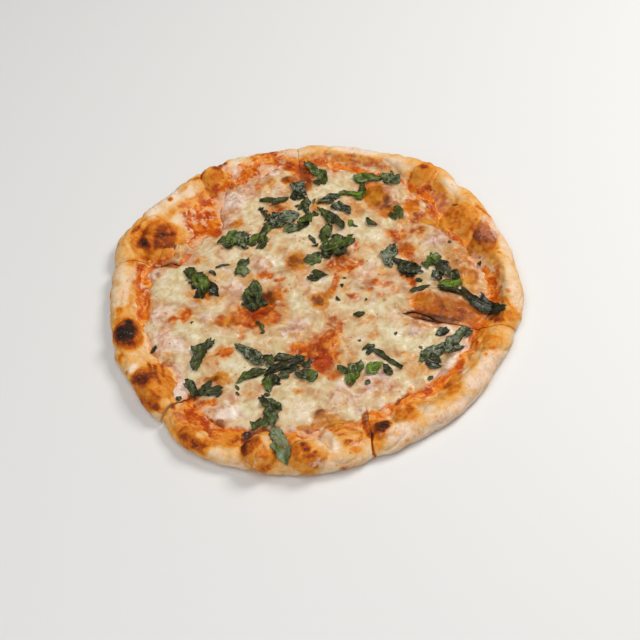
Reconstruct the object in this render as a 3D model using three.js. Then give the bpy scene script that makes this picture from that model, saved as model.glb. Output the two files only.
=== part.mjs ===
// A margherita pizza, knife-cut into six slices that still lie together.
// Millimetres, +Z up, the plate side of the crust on z = 0, origin under the
// middle of the whole pizza.  Each slice is three closed solids on top of each
// other: the dough with its puffed rim, the tomato sauce and the melted
// cheese.  The larger shreds of basil lie on top as solids of their own.
import * as THREE from 'three';

// ---------------------------------------------------------------- sizes ----
const MEAN_RADIUS = 138.3;            // pizza of about 280 mm
const OUTLINE_WAVES = [               // [waves round the rim, mm, phase deg]
  [1, 2.7, 173], [2, 2.2, 111], [3, 1.6, 54], [4, 1.7, -95],
  [6, 0.9, -93], [7, 0.8, -18], [9, 0.6, -23], [10, 0.5, 180]];
const FRAME_SHIFT = [0.9, 1.1];       // brings the middle of the box to 0, 0
const CUT_CENTRE = [2.4, 2.4];        // where the three knife cuts cross

const BASE_TOP = 3.5;                 // thickness of the flat part of the dough
const SAUCE_THICK = 0.8;
const LAYER_GAP = 0.3;                // clearance between touching layers
const CHEESE_EDGE = 0.7;              // thickness of the cheese at its edge
const CHEESE_MEAN = 1.7;              // and over the slice
const RIM_HEIGHT = 14.0;
const WAIST = 0.42;                   // height of the widest point / rim height
const CREST_INSET = 9.0;              // rim's crest, in from the outline
const FOOT_INSET = 5.5;               // where the rim lifts off the plate
const RIM_WIDTH = 25.0;               // outline to the foot of the inner slope

const COLUMNS = 16;                   // across one slice
const FLAT_INSET = 38;                // least inset of the row where the flat inside begins
const CORNER_ROUND = 2.2;             // rounding of the rim beside a cut
const CORNER_REACH = 6.0;

// knife cuts: direction inside and at the rim (deg, from CUT_CENTRE), half the
// gap at the middle, at the knee and at the rim, and how far out the cut bends
const CUTS = [
  { inner: -25.0, rim: -18.8, gap: [0.22, 0.30, 0.25], bend: 70 },
  { inner: 39.0, rim: 40.5, gap: [0.22, 0.20, 0.20] },
  { inner: 94.8, rim: 94.6, gap: [0.22, 0.20, 0.20] },
  { inner: 162.8, rim: 168.0, gap: [0.22, 0.25, 0.4] },
  { inner: 223.5, rim: 223.6, gap: [0.22, 0.45, 0.9] },
  { inner: 284.6, rim: 281.2, gap: [0.22, 0.20, 0.20] },
];
const LENS = { rho: 69, reach: 12, open: 4.0 };   // slice 1 stands off its neighbour here

// broad swells of the rim: [deg, reach deg, height, width]
const SWELLS = [
  [155, 13, 0.5, 15], [139, 7, -1.0, 2], [122, 8, 1.0, 4], [103, 12, -3.5, -6],
  [73, 20, -2.5, -5], [51, 8, 1.0, 3], [30, 10, 0.5, 7], [356, 13, 0.5, -3],
  [343, 6, -2.0, 0], [333, 8, 0.5, 2], [313, 14, -0.5, -1], [283, 7, -1.5, 3],
  [270, 10, 0.5, 5], [244, 6, -1.5, -2], [228, 6, -1.5, 0], [214, 9, 0.5, 6],
  [204, 5, -1.0, 0], [176, 9, -0.5, -5]];

// puffed bubbles: [x, y, reach round the rim, reach across, height]
const BUBBLES = [
  [-101.0, 47.5, 15, 17, 9.0], [-117.0, 45.5, 8, 8, 2.5], [-108.0, 60.0, 10, 12, 3.0],
  [-65.5, 105.0, 10, 13, 5.0], [-99.5, 84.5, 8, 8, 1.0],
  [-124.5, -31.0, 10, 10, 4.0], [-130.0, -13.5, 6, 6, 0.8],
  [-105.5, -71.5, 15, 14, 4.0], [-101.0, -88.5, 8, 8, 2.0],
  [-80.5, -114.0, 10, 8, 2.0], [-38.5, -123.5, 12, 16, 8.4],
  [-10.3, -128.0, 13, 15, 6.2], [11.0, -114.0, 13, 12, 5.0],
  [35.8, -113.5, 9, 9, 3.0], [51.5, -101.0, 10, 9, 3.5], [66.0, -98.0, 8, 8, 1.5],
  [107.5, -50.0, 10, 10, 2.5], [114.8, 34.0, 10, 9, 6.0], [117.5, 18.5, 8, 8, 1.5],
  [125.0, -14.5, 6, 6, 1.0], [79.5, 98.0, 9, 12, 3.0], [100.5, 56.5, 13, 13, 4.5],
  [69.5, 70.5, 10, 10, 3.0], [49.0, 84.0, 12, 12, 2.6]];

// the long bubble that the knife opened beside the first cut
const RIDGE = { from: [63, -7], to: [101, -20], near: 13.0, far: 8.0, height: 6.4 };

// edge of the sauce and of the cheese, in from the outline: [deg, mm, mm]
const TOPPING_EDGE = [
  [0, 17, 22], [16, 23, 27], [32, 30, 35], [46, 22, 27], [60, 20, 24],
  [76, 17, 21], [90, 15, 19], [103, 9, 16], [114, 11, 20], [123, 18, 24],
  [132, 21, 35], [141, 22, 50], [152, 42, 50], [163, 33, 39], [172, 17, 25],
  [186, 17, 24], [196, 22, 23], [205, 24, 24.6], [214, 31, 31.6], [222, 19, 25],
  [232, 13, 24], [244, 14, 28], [253, 26, 32], [262, 28, 31], [274, 29, 32],
  [286, 27, 32], [297, 29, 34], [310, 21, 27], [324, 20, 26], [338, 16, 25],
  [350, 16, 22]];

// soft mounds where more cheese melted: [x, y, reach, height]
const MOUNDS = [
  [-102, 12, 18, 0.9], [-84, -29, 16, 1.0], [-60, -52, 16, 0.9], [-24, -92, 18, 1.0],
  [-49, 63, 17, 1.0], [-18, 47, 15, 0.8], [-66, 40, 15, 0.7], [-17, -3, 13, 0.7],
  [46, -40, 22, 1.1], [61, -54, 13, 0.6], [32, 45, 17, 0.9], [12, 95, 14, 0.8],
  [46, 108, 12, 0.7], [71, 11, 12, 0.6], [88, 38, 14, 0.7], [-58, 84, 14, 0.8],
  [-68, -99, 12, 0.7], [12, -88, 13, 0.6], [104, -3, 9, 0.5]];

// basil shreds: [x, y, length, width, direction deg, sideways bend, curl]
const BASIL = [
  [5.5, 108.5, 21, 8, -74, 1.0, 1.2], [-9.6, 94.0, 14, 9, -60, 0.5, 1.0],
  [-25.4, 84.2, 17, 5, 5, 0.8, 0.8], [-19.6, 66.3, 17, 11, 20, 0.5, 1.4],
  [-5.6, 63.0, 12, 8, 60, 0.5, 1.0], [-2.6, 77.8, 13, 6, 100, 0.8, 1.2],
  [12.2, 83.0, 14, 5, 15, 0.5, 0.8], [21.5, 75.0, 13, 7, -30, 1.0, 1.0],
  [12.0, 63.8, 22, 6, -42, 1.0, 1.2], [8.6, 51.0, 13, 7, 80, 0.5, 1.0],
  [15.0, 39.3, 18, 12, 18, 0.0, 1.6], [-53.0, 49.5, 18, 13, 5, 0.5, 1.6],
  [-36.0, 50.5, 20, 6, 42, 2.0, 1.2], [-49.2, 24.2, 13, 9, 70, 0.0, 1.0],
  [-0.4, 28.2, 11, 9, 30, 0.0, 1.2], [-78.5, 15.0, 22, 8, -62, 1.0, 1.4],
  [-42.2, -0.8, 18, 12, 80, 0.0, 1.8], [-75.0, -47.8, 25, 9.5, 66, 2.2, 1.4],
  [-82.0, -73.5, 14, 6, -52, 0.5, 1.0], [-70.6, -77.6, 13, 7, 14, 0.5, 1.2],
  [-45.0, -50.0, 22, 8, -44, 1.0, 1.4], [-44.5, -66.6, 17, 6, 8, 0.6, 1.0],
  [-22.5, -60.4, 22, 6, 2, 0.8, 1.2], [-31.5, -73.0, 12, 7, 68, 0.5, 1.0],
  [-9.8, -68.8, 12, 8, -40, 0.5, 1.2], [-32.4, -93.5, 19, 8, -76, 0.8, 1.2],
  [-26.5, -121.0, 30, 9, -77, 0.0, 0.6], [41.5, -58.2, 27, 4.2, -40, 0.6, 0.8],
  [33.8, -65.5, 11, 8, 30, 0.0, 1.4], [22.0, -69.8, 13, 8, 62, 0.5, 1.0],
  [49.8, 29.2, 16, 10, 70, 0.0, 1.4], [62.5, 15.0, 15, 10, -20, 0.5, 1.6],
  [80.6, 23.4, 11, 8, 80, 0.0, 1.2], [87.6, 11.5, 20, 9, -62, 0.5, 1.2],
  [89.5, -0.5, 12, 8, 8, 0.0, 1.2], [106.2, -18.9, 29, 8, -45, 0.4, 1.0],
  [84.0, -51.5, 34, 7, 38, 1.4, 1.4], [40.4, 102.3, 15, 8, 12, 0.5, 1.4],
  [56.2, 101.5, 14, 8, -35, 0.5, 1.2], [30.0, 86.2, 17, 5, -5, 0.8, 1.0],
  [59.8, 68.0, 14, 5, -78, 0.5, 0.8]];
const BASIL_THICK = 0.8;
const BASIL_GAP = 0.35;               // clear of what it lies on

// ------------------------------------------------------------ materials ----
const doughMat = () => new THREE.MeshStandardMaterial({ color: 0xe3bd84, roughness: 0.85, metalness: 0 });
const sauceMat = () => new THREE.MeshStandardMaterial({ color: 0xc4501f, roughness: 0.45, metalness: 0 });
const cheeseMat = () => new THREE.MeshStandardMaterial({ color: 0xe6d7a6, roughness: 0.4, metalness: 0 });
const basilMat = () => new THREE.MeshStandardMaterial({ color: 0x2f4a24, roughness: 0.5, metalness: 0 });

// -------------------------------------------------------------- outline ----
const rad = d => d * Math.PI / 180;
const bell = (d, reach) => Math.exp(-(d * d) / (reach * reach));
const turn = d => ((d + 180) % 360 + 360) % 360 - 180;      // to -180..180

function outlineRadius(theta) {
  let r = MEAN_RADIUS;
  for (const [n, a, ph] of OUTLINE_WAVES) r += a * Math.cos(n * theta - rad(ph));
  return r;
}

// distance from the crossing of the cuts to the outline, in a direction
function edgeDistance(phi) {
  let rho = MEAN_RADIUS;
  for (let k = 0; k < 5; k++) {
    const x = CUT_CENTRE[0] + rho * Math.cos(phi), y = CUT_CENTRE[1] + rho * Math.sin(phi);
    rho += outlineRadius(Math.atan2(y, x)) - Math.hypot(x, y);
  }
  return rho;
}

function swell(deg, item) {
  let sum = 0;
  for (const s of SWELLS) sum += s[item] * bell(turn(deg - s[0]), s[1]);
  return sum;
}
const rimHeight = deg => RIM_HEIGHT + swell(deg, 2);
const rimWidth = deg => RIM_WIDTH + swell(deg, 3);

function toppingEdge(deg, item) {
  const d = ((deg % 360) + 360) % 360, n = TOPPING_EDGE.length;
  for (let k = 0; k < n; k++) {
    const a = TOPPING_EDGE[k], b = TOPPING_EDGE[(k + 1) % n];
    const span = ((b[0] - a[0]) + 360) % 360, at = ((d - a[0]) + 360) % 360;
    if (at <= span) {
      const t = (1 - Math.cos(Math.PI * at / span)) / 2;
      return a[item] + (b[item] - a[item]) * t;
    }
  }
  return TOPPING_EDGE[0][item];
}

// inset of the row where the flat inside of a slice begins
const footInset = deg => Math.max(rimWidth(deg) + 1, toppingEdge(deg, 2) + 4, FLAT_INSET);

// ----------------------------------------------------------------- cuts ----
// a cut is straight up to its bend, most often its knee, where the rim begins
for (const c of CUTS) {
  c.edge = edgeDistance(rad(c.rim)) - CORNER_ROUND;
  c.knee = c.edge - footInset(c.rim);
  c.bend = c.bend ?? c.knee;
}
function cutAngle(c, rho) {
  const t = Math.max(0, (rho - c.bend) / (c.edge - c.bend));
  return rad(c.inner + (c.rim - c.inner) * t);
}
function cutGap(c, rho) {
  const [g0, g1, g2] = c.gap;
  return rho < c.knee ? g0 + (g1 - g0) * rho / c.knee : g1 + (g2 - g1) * (rho - c.knee) / (c.edge - c.knee);
}

// -------------------------------------------------------------- surface ----
// height of the dough at an inset s, before bubbles
function rimProfile(deg, s, pinch) {
  const h = rimHeight(deg) - 1.2 * pinch, w = rimWidth(deg), zw = WAIST * h;
  if (s < CREST_INSET) {
    const c = 1 - Math.max(0, s) / CREST_INSET;
    return zw + (h - zw) * Math.sqrt(Math.max(0, 1 - c * c));
  }
  const t = Math.min(1, (s - CREST_INSET) / (w - CREST_INSET));
  return BASE_TOP + (h - BASE_TOP) * 0.5 * (1 + Math.cos(Math.PI * t));
}

function bubbleHeight(x, y) {
  let z = 0;
  for (const [bx, by, rt, rr, h] of BUBBLES) {
    const th = Math.atan2(by, bx), dx = x - bx, dy = y - by;
    const across = (dx * Math.cos(th) + dy * Math.sin(th)) / rr;
    const along = (-dx * Math.sin(th) + dy * Math.cos(th)) / rt;
    const q = across * across + along * along;
    if (q < 1) z += h * (1 - q) ** 1.4;
  }
  return z;
}

function ridgeHeight(x, y) {
  const [ax, ay] = RIDGE.from, [bx, by] = RIDGE.to;
  const ux = bx - ax, uy = by - ay, L2 = ux * ux + uy * uy;
  const t = Math.min(1, Math.max(0, ((x - ax) * ux + (y - ay) * uy) / L2));
  const d = Math.hypot(x - ax - t * ux, y - ay - t * uy);
  const reach = uy * (x - ax) - ux * (y - ay) < 0 ? RIDGE.far : RIDGE.near;
  return RIDGE.height * Math.sin(Math.PI * (0.12 + 0.76 * t)) * bell(d, reach);
}

function cheeseThickness(x, y, inside) {
  let t = CHEESE_MEAN + 0.25 * Math.sin(x / 9.1 + 1.3 * Math.sin(y / 13)) * Math.cos(y / 8.3 + 0.7);
  for (const [mx, my, r, h] of MOUNDS) t += h * bell(Math.hypot(x - mx, y - my), r * 0.7);
  const k = Math.min(1, inside / 7);
  return CHEESE_EDGE + (t - CHEESE_EDGE) * Math.sqrt(k);
}

// --------------------------------------------------------- closed meshes ----
class Body {
  constructor() { this.pos = []; this.tri = []; }
  point(p) { this.pos.push(p[0], p[1], p[2]); return this.pos.length / 3 - 1; }
  face(a, b, c) { if (a !== b && b !== c && c !== a) this.tri.push(a, b, c); }
  quad(a, b, c, d) { this.face(a, b, c); this.face(a, c, d); }
  geometry() {
    const g = new THREE.BufferGeometry();
    g.setAttribute('position', new THREE.BufferAttribute(new Float32Array(this.pos), 3));
    g.setIndex(this.tri);
    g.computeVertexNormals();
    return g;
  }
}

// closes one cut side of a slice; ring is its outline in vertex numbers, and
// the first cut's side faces backwards (turned = false), the second's forwards
function closeSide(body, ring, turned) {
  // a cut side is long and low, so points in one line are told apart by a
  // slight swelling of the outline upwards and downwards
  const z = v => body.pos[3 * v + 2], middle = (z(ring[0]) + z(ring[ring.length - 1])) / 2;
  const uv = ring.map(v => {
    const rho = Math.hypot(body.pos[3 * v] - CUT_CENTRE[0], body.pos[3 * v + 1] - CUT_CENTRE[1]);
    const swelling = 0.05 * Math.sin(Math.PI * rho / 150);
    return new THREE.Vector2(rho, z(v) + (z(v) > middle ? swelling : -swelling));
  });
  for (const [a, b, c] of THREE.ShapeUtils.triangulateShape(uv, [])) {
    const area = THREE.ShapeUtils.area([uv[a], uv[b], uv[c]]);
    if ((area > 0) !== turned) body.face(ring[a], ring[b], ring[c]); else body.face(ring[a], ring[c], ring[b]);
  }
}

// ---------------------------------------------------------------- slices ----
const group = new THREE.Group();
const topFaces = [];                   // every upward triangle, for the basil to lie on

function addMesh(name, geometry, material) {
  const mesh = new THREE.Mesh(geometry, material);
  mesh.name = name;
  group.add(mesh);
  const p = geometry.attributes.position, ix = geometry.index;
  for (let k = 0; k < ix.count; k += 3) {
    const v = [0, 1, 2].map(j => ix.getX(k + j)).map(i => [p.getX(i), p.getY(i), p.getZ(i)]);
    const nz = (v[1][0] - v[0][0]) * (v[2][1] - v[0][1]) - (v[1][1] - v[0][1]) * (v[2][0] - v[0][0]);
    if (nz > 1e-6) topFaces.push(v);
  }
}

function buildSlice(index, fullRows) {
  const A = CUTS[index], B = { ...CUTS[(index + 1) % CUTS.length] };
  if (index === CUTS.length - 1) { B.inner += 360; B.rim += 360; }

  // columns lie closer together where a bubble stands on the rim
  const weight = u => {
    const deg = A.rim + (B.rim - A.rim) * u;
    let w = 1;
    for (const [bx, by, rt, , h] of BUBBLES) {
      const d = turn(deg - Math.atan2(by - CUT_CENTRE[1], bx - CUT_CENTRE[0]) * 180 / Math.PI);
      w += 0.35 * h / 4 * bell(d, rt * 0.5);
    }
    return w;
  };
  const steps = 400, sums = [0];
  for (let k = 0; k < steps; k++) sums.push(sums[k] + weight((k + 0.5) / steps));
  const columns = [];
  for (let i = 0, k = 0; i <= COLUMNS; i++) {
    const want = sums[steps] * i / COLUMNS;
    while (k < steps && sums[k + 1] < want) k++;
    columns.push(i === COLUMNS ? 1 : Math.min(1, (k + (want - sums[k]) / (sums[k + 1] - sums[k])) / steps));
  }

  // the point at a distance rho in a column, and what is needed about it
  const place = (u, rho) => {
    const gA = cutGap(A, rho), gB = cutGap(B, rho);
    const open = index === 0 ? LENS.open * bell(rho - LENS.rho, LENS.reach) : 0;
    const a = cutAngle(A, rho) + (gA + open) / rho, b = cutAngle(B, rho) - gB / rho;
    const phi = a + (b - a) * u;
    return [CUT_CENTRE[0] + rho * Math.cos(phi), CUT_CENTRE[1] + rho * Math.sin(phi), phi];
  };
  // a boundary column takes its direction from the cut itself, so that the
  // slices on both sides of it have their rows at the same distances
  const column = u => {
    const deg = A.rim + (B.rim - A.rim) * u;
    const span = rad(B.rim - A.rim) * MEAN_RADIUS;
    const pinch = bell(u * span, CORNER_REACH) + bell((1 - u) * span, CORNER_REACH);
    return { u, rim: edgeDistance(rad(deg)) - CORNER_ROUND * pinch, pinch, deg };
  };
  const cols = columns.map(column);

  const doughTop = (c, s) => {
    const [x, y] = place(c.u, c.rim - s);
    return [x, y, rimProfile(c.deg, s, c.pinch) + bubbleHeight(x, y) + ridgeHeight(x, y)];
  };
  // insets of the rows, from the outline inwards
  const rows = c => {
    const sauce = toppingEdge(c.deg, 1), cheese = toppingEdge(c.deg, 2);
    return { sauce, mid: (sauce + cheese) / 2, cheese, foot: footInset(c.deg) };
  };
  const inner = fullRows ? [0.85, 0.70, 0.54, 0.36, 0.18] : [];   // of the foot's distance
  const cheeseInner = [0.86, 0.71, 0.56, 0.41, 0.26];
  const tipRho = 1.1;

  const tipAt = z => {
    const gA = cutGap(A, tipRho), gB = cutGap(B, tipRho);
    const a = rad(A.inner), b = rad(B.inner), mid = (a + b) / 2;
    const r = tipRho + (gA + gB) / 2 / Math.sin((b - a) / 2);
    return [CUT_CENTRE[0] + r * Math.cos(mid), CUT_CENTRE[1] + r * Math.sin(mid), z];
  };
  const insideTop = (c, rho) => {
    const [x, y] = place(c.u, rho);
    return [x, y, fullRows ? rimProfile(c.deg, c.rim - rho, c.pinch) + bubbleHeight(x, y) + ridgeHeight(x, y) : BASE_TOP];
  };

  // shared rows of the layers: sauce edge, middle, cheese edge, foot, inside
  const layerRows = cols.map(c => {
    const r = rows(c), list = [r.sauce, r.mid, r.cheese, r.foot].map(s => doughTop(c, s));
    if (!fullRows) list[3][2] = BASE_TOP;
    const footRho = c.rim - r.foot;
    for (const f of inner) list.push(insideTop(c, footRho * f));
    return list;
  });

  // ---- dough
  const FOOT_ROW = 11;
  {
    const b = new Body(), grid = cols.map((c, i) => {
      const h = rimHeight(c.deg) - 1.2 * c.pinch, zw = WAIST * h, line = [];
      const low = (s, z) => { const [x, y] = place(c.u, c.rim - s); line.push([x, y, z]); };
      low(footInset(c.deg), 0);
      low(FOOT_INSET, 0);
      low(FOOT_INSET * 0.29, zw * 0.29);
      low(0, zw);
      const r = rows(c), top = Math.min(CREST_INSET, r.sauce - 2.2);
      for (const f of [0.16, 0.5]) line.push(doughTop(c, top * f));
      line.push(doughTop(c, top));
      if (r.sauce - top > 5) line.push(doughTop(c, (top + r.sauce) / 2));
      else line.push(doughTop(c, top + (r.sauce - top) * 0.5));
      for (const p of layerRows[i]) line.push(p);
      return line;
    });
    const ids = grid.map(line => line.map(p => b.point(p)));
    const tipLow = b.point(tipAt(0)), tipHigh = b.point(tipAt(BASE_TOP));
    const n = grid[0].length;
    for (let i = 0; i < COLUMNS; i++) {
      for (let j = 0; j < n - 1; j++) b.quad(ids[i][j], ids[i + 1][j], ids[i + 1][j + 1], ids[i][j + 1]);
      b.face(ids[i][n - 1], ids[i + 1][n - 1], tipHigh);
      b.face(ids[i + 1][0], ids[i][0], tipLow);
    }
    for (const [i, flip] of [[0, false], [COLUMNS, true]]) {
      const line = ids[i];                         // outside and inside of the knee
      closeSide(b, line.slice(0, FOOT_ROW + 1), flip);
      closeSide(b, [tipLow, line[0], ...line.slice(FOOT_ROW), tipHigh], flip);
    }
    addMesh(`dough_${index + 1}`, b.geometry(), doughMat());
  }

  // ---- a layer between two stacks of the shared rows
  const layer = (name, material, firstRow, bottomLift, topLine) => {
    const b = new Body();
    const lows = cols.map((c, i) => layerRows[i].slice(firstRow).map(p => b.point([p[0], p[1], p[2] + bottomLift])));
    const highs = cols.map((c, i) => topLine(c, i).map(p => b.point(p)));
    const m = lows[0].length, n = highs[0].length;
    const tipLow = b.point(tipAt(BASE_TOP + bottomLift)), tipHigh = b.point(tipAt(topLine.tip));
    for (let i = 0; i < COLUMNS; i++) {
      for (let j = 0; j < n - 1; j++) b.quad(highs[i][j], highs[i + 1][j], highs[i + 1][j + 1], highs[i][j + 1]);
      b.face(highs[i][n - 1], highs[i + 1][n - 1], tipHigh);
      for (let j = 0; j < m - 1; j++) {           // split as the top of the layer below is
        b.face(lows[i][j], lows[i + 1][j + 1], lows[i + 1][j]);
        b.face(lows[i][j], lows[i][j + 1], lows[i + 1][j + 1]);
      }
      b.face(lows[i + 1][m - 1], lows[i][m - 1], tipLow);
      b.quad(lows[i][0], lows[i + 1][0], highs[i + 1][0], highs[i][0]);
    }
    for (const [i, flip] of [[0, false], [COLUMNS, true]]) {
      const low = lows[i], high = highs[i], f = 3 - firstRow, g = topLine.foot;
      closeSide(b, [...low.slice(0, f + 1).reverse(), ...high.slice(0, g + 1)], flip);
      closeSide(b, [tipLow, ...low.slice(f).reverse(), ...high.slice(g), tipHigh], flip);
    }
    addMesh(name, b.geometry(), material);
  };

  // ---- sauce
  const sauceLow = LAYER_GAP, sauceHigh = LAYER_GAP + SAUCE_THICK;
  const sauceTop = (c, i) => layerRows[i].map((p, j) => [p[0], p[1], p[2] + (j === 0 ? LAYER_GAP + 0.5 * SAUCE_THICK : sauceHigh)]);
  sauceTop.tip = BASE_TOP + sauceHigh;
  sauceTop.foot = 3;                               // which row of it is the foot
  layer(`sauce_${index + 1}`, sauceMat(), 0, sauceLow, sauceTop);

  // ---- cheese
  const cheeseLow = sauceHigh + LAYER_GAP;
  const cheeseTop = (c, i) => {
    const r = rows(c), line = [];
    const rise = (p, s) => {
      const inside = s - r.cheese;
      line.push([p[0], p[1], p[2] + cheeseLow + cheeseThickness(p[0], p[1], inside)]);
    };
    rise(layerRows[i][2], r.cheese);
    rise(layerRows[i][3], r.foot);
    const footRho = c.rim - r.foot;
    if (fullRows) inner.forEach((f, k) => rise(layerRows[i][4 + k], c.rim - footRho * f));
    else for (const f of cheeseInner) rise(insideTop(c, footRho * f), c.rim - footRho * f);
    return line;
  };
  cheeseTop.tip = BASE_TOP + cheeseLow + CHEESE_MEAN;
  cheeseTop.foot = 1;
  layer(`cheese_${index + 1}`, cheeseMat(), 2, cheeseLow, cheeseTop);
}

const FULL_ROWS = [true, false, true, false, false, true];   // slices with a bubble or a bend inside the rim
CUTS.forEach((_, k) => buildSlice(k, FULL_ROWS[k]));

// ----------------------------------------------------------------- basil ----
function heightUnder(x, y) {
  let best = 0;
  for (const [a, b, c] of topFaces) {
    const det = (b[1] - c[1]) * (a[0] - c[0]) + (c[0] - b[0]) * (a[1] - c[1]);
    const u = ((b[1] - c[1]) * (x - c[0]) + (c[0] - b[0]) * (y - c[1])) / det;
    const v = ((c[1] - a[1]) * (x - c[0]) + (a[0] - c[0]) * (y - c[1])) / det;
    const w = 1 - u - v;
    if (u > -1e-9 && v > -1e-9 && w > -1e-9) best = Math.max(best, u * a[2] + v * b[2] + w * c[2]);
  }
  return best;
}

function buildBasil(index, [cx, cy, length, width, deg, bend, curl]) {
  const stations = length < 14 ? 3 : 4, th = rad(deg), lines = [];
  for (let i = 0; i < stations; i++) {
    const t = i / (stations - 1), along = (t - 0.5) * length;
    const side = bend * Math.sin(Math.PI * t), w = width * (0.45 + 0.55 * Math.sin(Math.PI * (0.15 + 0.7 * t)));
    const row = [];
    for (const e of [-0.5, 0, 0.5]) {
      const q = side + e * w;
      row.push([cx + along * Math.cos(th) - q * Math.sin(th), cy + along * Math.sin(th) + q * Math.cos(th), Math.abs(e)]);
    }
    lines.push(row);
  }
  // height of each vertex: the highest thing close below it, then raised until
  // the straight facets between the vertices are clear too
  const reach = 1.6, lowZ = lines.map(row => row.map(([x, y, e]) => {
    let z = 0;
    for (let k = 0; k < 8; k++) z = Math.max(z, heightUnder(x + reach * Math.cos(k * Math.PI / 4), y + reach * Math.sin(k * Math.PI / 4)));
    return Math.max(z, heightUnder(x, y)) + BASIL_GAP + (e === 0 ? curl * 0.5 : 0);
  }));
  let lift = 0;
  const N = 6;
  for (let i = 0; i < stations - 1; i++) for (let j = 0; j < 2; j++) for (let a = 0; a <= N; a++) for (let c = 0; c <= N; c++) {
    const u = a / N, v = c / N;
    const mix = f => (1 - u) * (1 - v) * f(i, j) + u * (1 - v) * f(i + 1, j) + u * v * f(i + 1, j + 1) + (1 - u) * v * f(i, j + 1);
    const x = mix((p, q) => lines[p][q][0]), y = mix((p, q) => lines[p][q][1]);
    // the lower of the two ways the quad may be split
    const z00 = lowZ[i][j], z10 = lowZ[i + 1][j], z11 = lowZ[i + 1][j + 1], z01 = lowZ[i][j + 1];
    const one = u > v ? z00 + u * (z10 - z00) + v * (z11 - z10) : z00 + v * (z01 - z00) + u * (z11 - z01);
    lift = Math.max(lift, heightUnder(x, y) + BASIL_GAP - one);
  }
  const b = new Body();
  const low = lines.map((row, i) => row.map((p, j) => b.point([p[0], p[1], lowZ[i][j] + lift])));
  const high = lines.map((row, i) => row.map((p, j) => b.point([p[0], p[1], lowZ[i][j] + lift + BASIL_THICK])));
  for (let i = 0; i < stations - 1; i++) {
    for (let j = 0; j < 2; j++) {
      b.quad(high[i][j], high[i + 1][j], high[i + 1][j + 1], high[i][j + 1]);
      b.face(low[i][j], low[i + 1][j + 1], low[i + 1][j]);
      b.face(low[i][j], low[i][j + 1], low[i + 1][j + 1]);
    }
    b.quad(low[i][0], low[i + 1][0], high[i + 1][0], high[i][0]);
    b.quad(low[i + 1][2], low[i][2], high[i][2], high[i + 1][2]);
  }
  const e = stations - 1;
  for (let j = 0; j < 2; j++) {
    b.quad(low[0][j + 1], low[0][j], high[0][j], high[0][j + 1]);
    b.quad(low[e][j], low[e][j + 1], high[e][j + 1], high[e][j]);
  }
  addMesh(`basil_${String(index + 1).padStart(2, '0')}`, b.geometry(), basilMat());
}
BASIL.forEach((leaf, k) => buildBasil(k, leaf));

group.position.set(FRAME_SHIFT[0], FRAME_SHIFT[1], 0);
export default group;
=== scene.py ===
# A margherita pizza, knife-cut into six slices that still lie together.
#
# The surfaces are worked out in millimetres from the same named sizes as the
# CAD model (outline, rim, bubbles, cuts, edges of the toppings), on much finer
# grids, and go into Blender in metres.  What is painted on them (browning,
# thin and thick cheese, sauce, and some painted shade and painted highlights)
# is a list of soft, noise-edged spots and strokes whose places are given in
# VIEW coordinates: millimetres on the plate as the camera sees them.
import math
import bpy
import numpy as np
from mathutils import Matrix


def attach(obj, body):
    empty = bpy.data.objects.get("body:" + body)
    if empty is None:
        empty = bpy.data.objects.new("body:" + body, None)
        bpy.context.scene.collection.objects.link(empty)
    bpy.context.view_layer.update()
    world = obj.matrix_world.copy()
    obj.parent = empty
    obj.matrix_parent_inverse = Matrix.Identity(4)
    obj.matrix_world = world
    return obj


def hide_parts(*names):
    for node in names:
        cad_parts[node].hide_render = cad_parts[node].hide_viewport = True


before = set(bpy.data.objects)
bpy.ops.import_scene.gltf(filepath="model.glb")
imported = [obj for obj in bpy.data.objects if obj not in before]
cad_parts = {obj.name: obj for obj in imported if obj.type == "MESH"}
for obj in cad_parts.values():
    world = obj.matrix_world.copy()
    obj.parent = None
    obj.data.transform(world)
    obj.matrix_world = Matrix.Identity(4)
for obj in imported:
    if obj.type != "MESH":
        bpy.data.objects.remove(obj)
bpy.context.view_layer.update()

# ------------------------------------------------------------------- sizes ---
MEAN_RADIUS = 138.3
OUTLINE_WAVES = [(1, 2.7, 173), (2, 2.2, 111), (3, 1.6, 54), (4, 1.7, -95),
                 (6, 0.9, -93), (7, 0.8, -18), (9, 0.6, -23), (10, 0.5, 180)]
FRAME_SHIFT = (0.9, 1.1)
CUT_CENTRE = (2.4, 2.4)
BASE_TOP = 3.5
RIM_HEIGHT = 14.0
WAIST = 0.42
CREST_INSET = 9.0
FOOT_INSET = 5.5
RIM_WIDTH = 25.0
FLAT_INSET = 38.0
CORNER_ROUND = 2.2
CORNER_REACH = 6.0
CHEESE_MEAN = 2.1

CUTS = [dict(inner=-25.0, rim=-18.8, bend=70, gap=(.22, .30, .20), open=60, soft=4, press=.8),
        dict(inner=39.0, rim=40.5, gap=(.10, .06, .06), open=106, press=.08),
        dict(inner=94.8, rim=94.6, gap=(.20, .13, .16), open=98, press=.3),
        dict(inner=162.8, rim=168.0, gap=(.22, .25, .4), open=95, press=.5),
        dict(inner=223.5, rim=223.6, gap=(.22, .45, .9), open=112, press=.6),
        dict(inner=284.6, rim=281.2, gap=(.18, .12, .14), open=100, press=.6)]
LENS = dict(rho=69, reach=11, open=4.2)

SWELLS = [(155, 13, .5, 15), (139, 7, -1, 2), (122, 8, 1, 4), (103, 12, -3.5, -6),
          (73, 20, -2.5, -5), (51, 8, 1, 3), (30, 10, .5, 7), (356, 13, .5, -3),
          (343, 6, -2, 0), (333, 8, .5, 2), (313, 14, -.5, -1), (283, 7, -1.5, 3),
          (270, 10, .5, 5), (244, 6, -1.5, -2), (228, 6, -1.5, 0), (214, 9, .5, 6),
          (204, 5, -1, 0), (176, 9, -.5, -5)]

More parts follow.
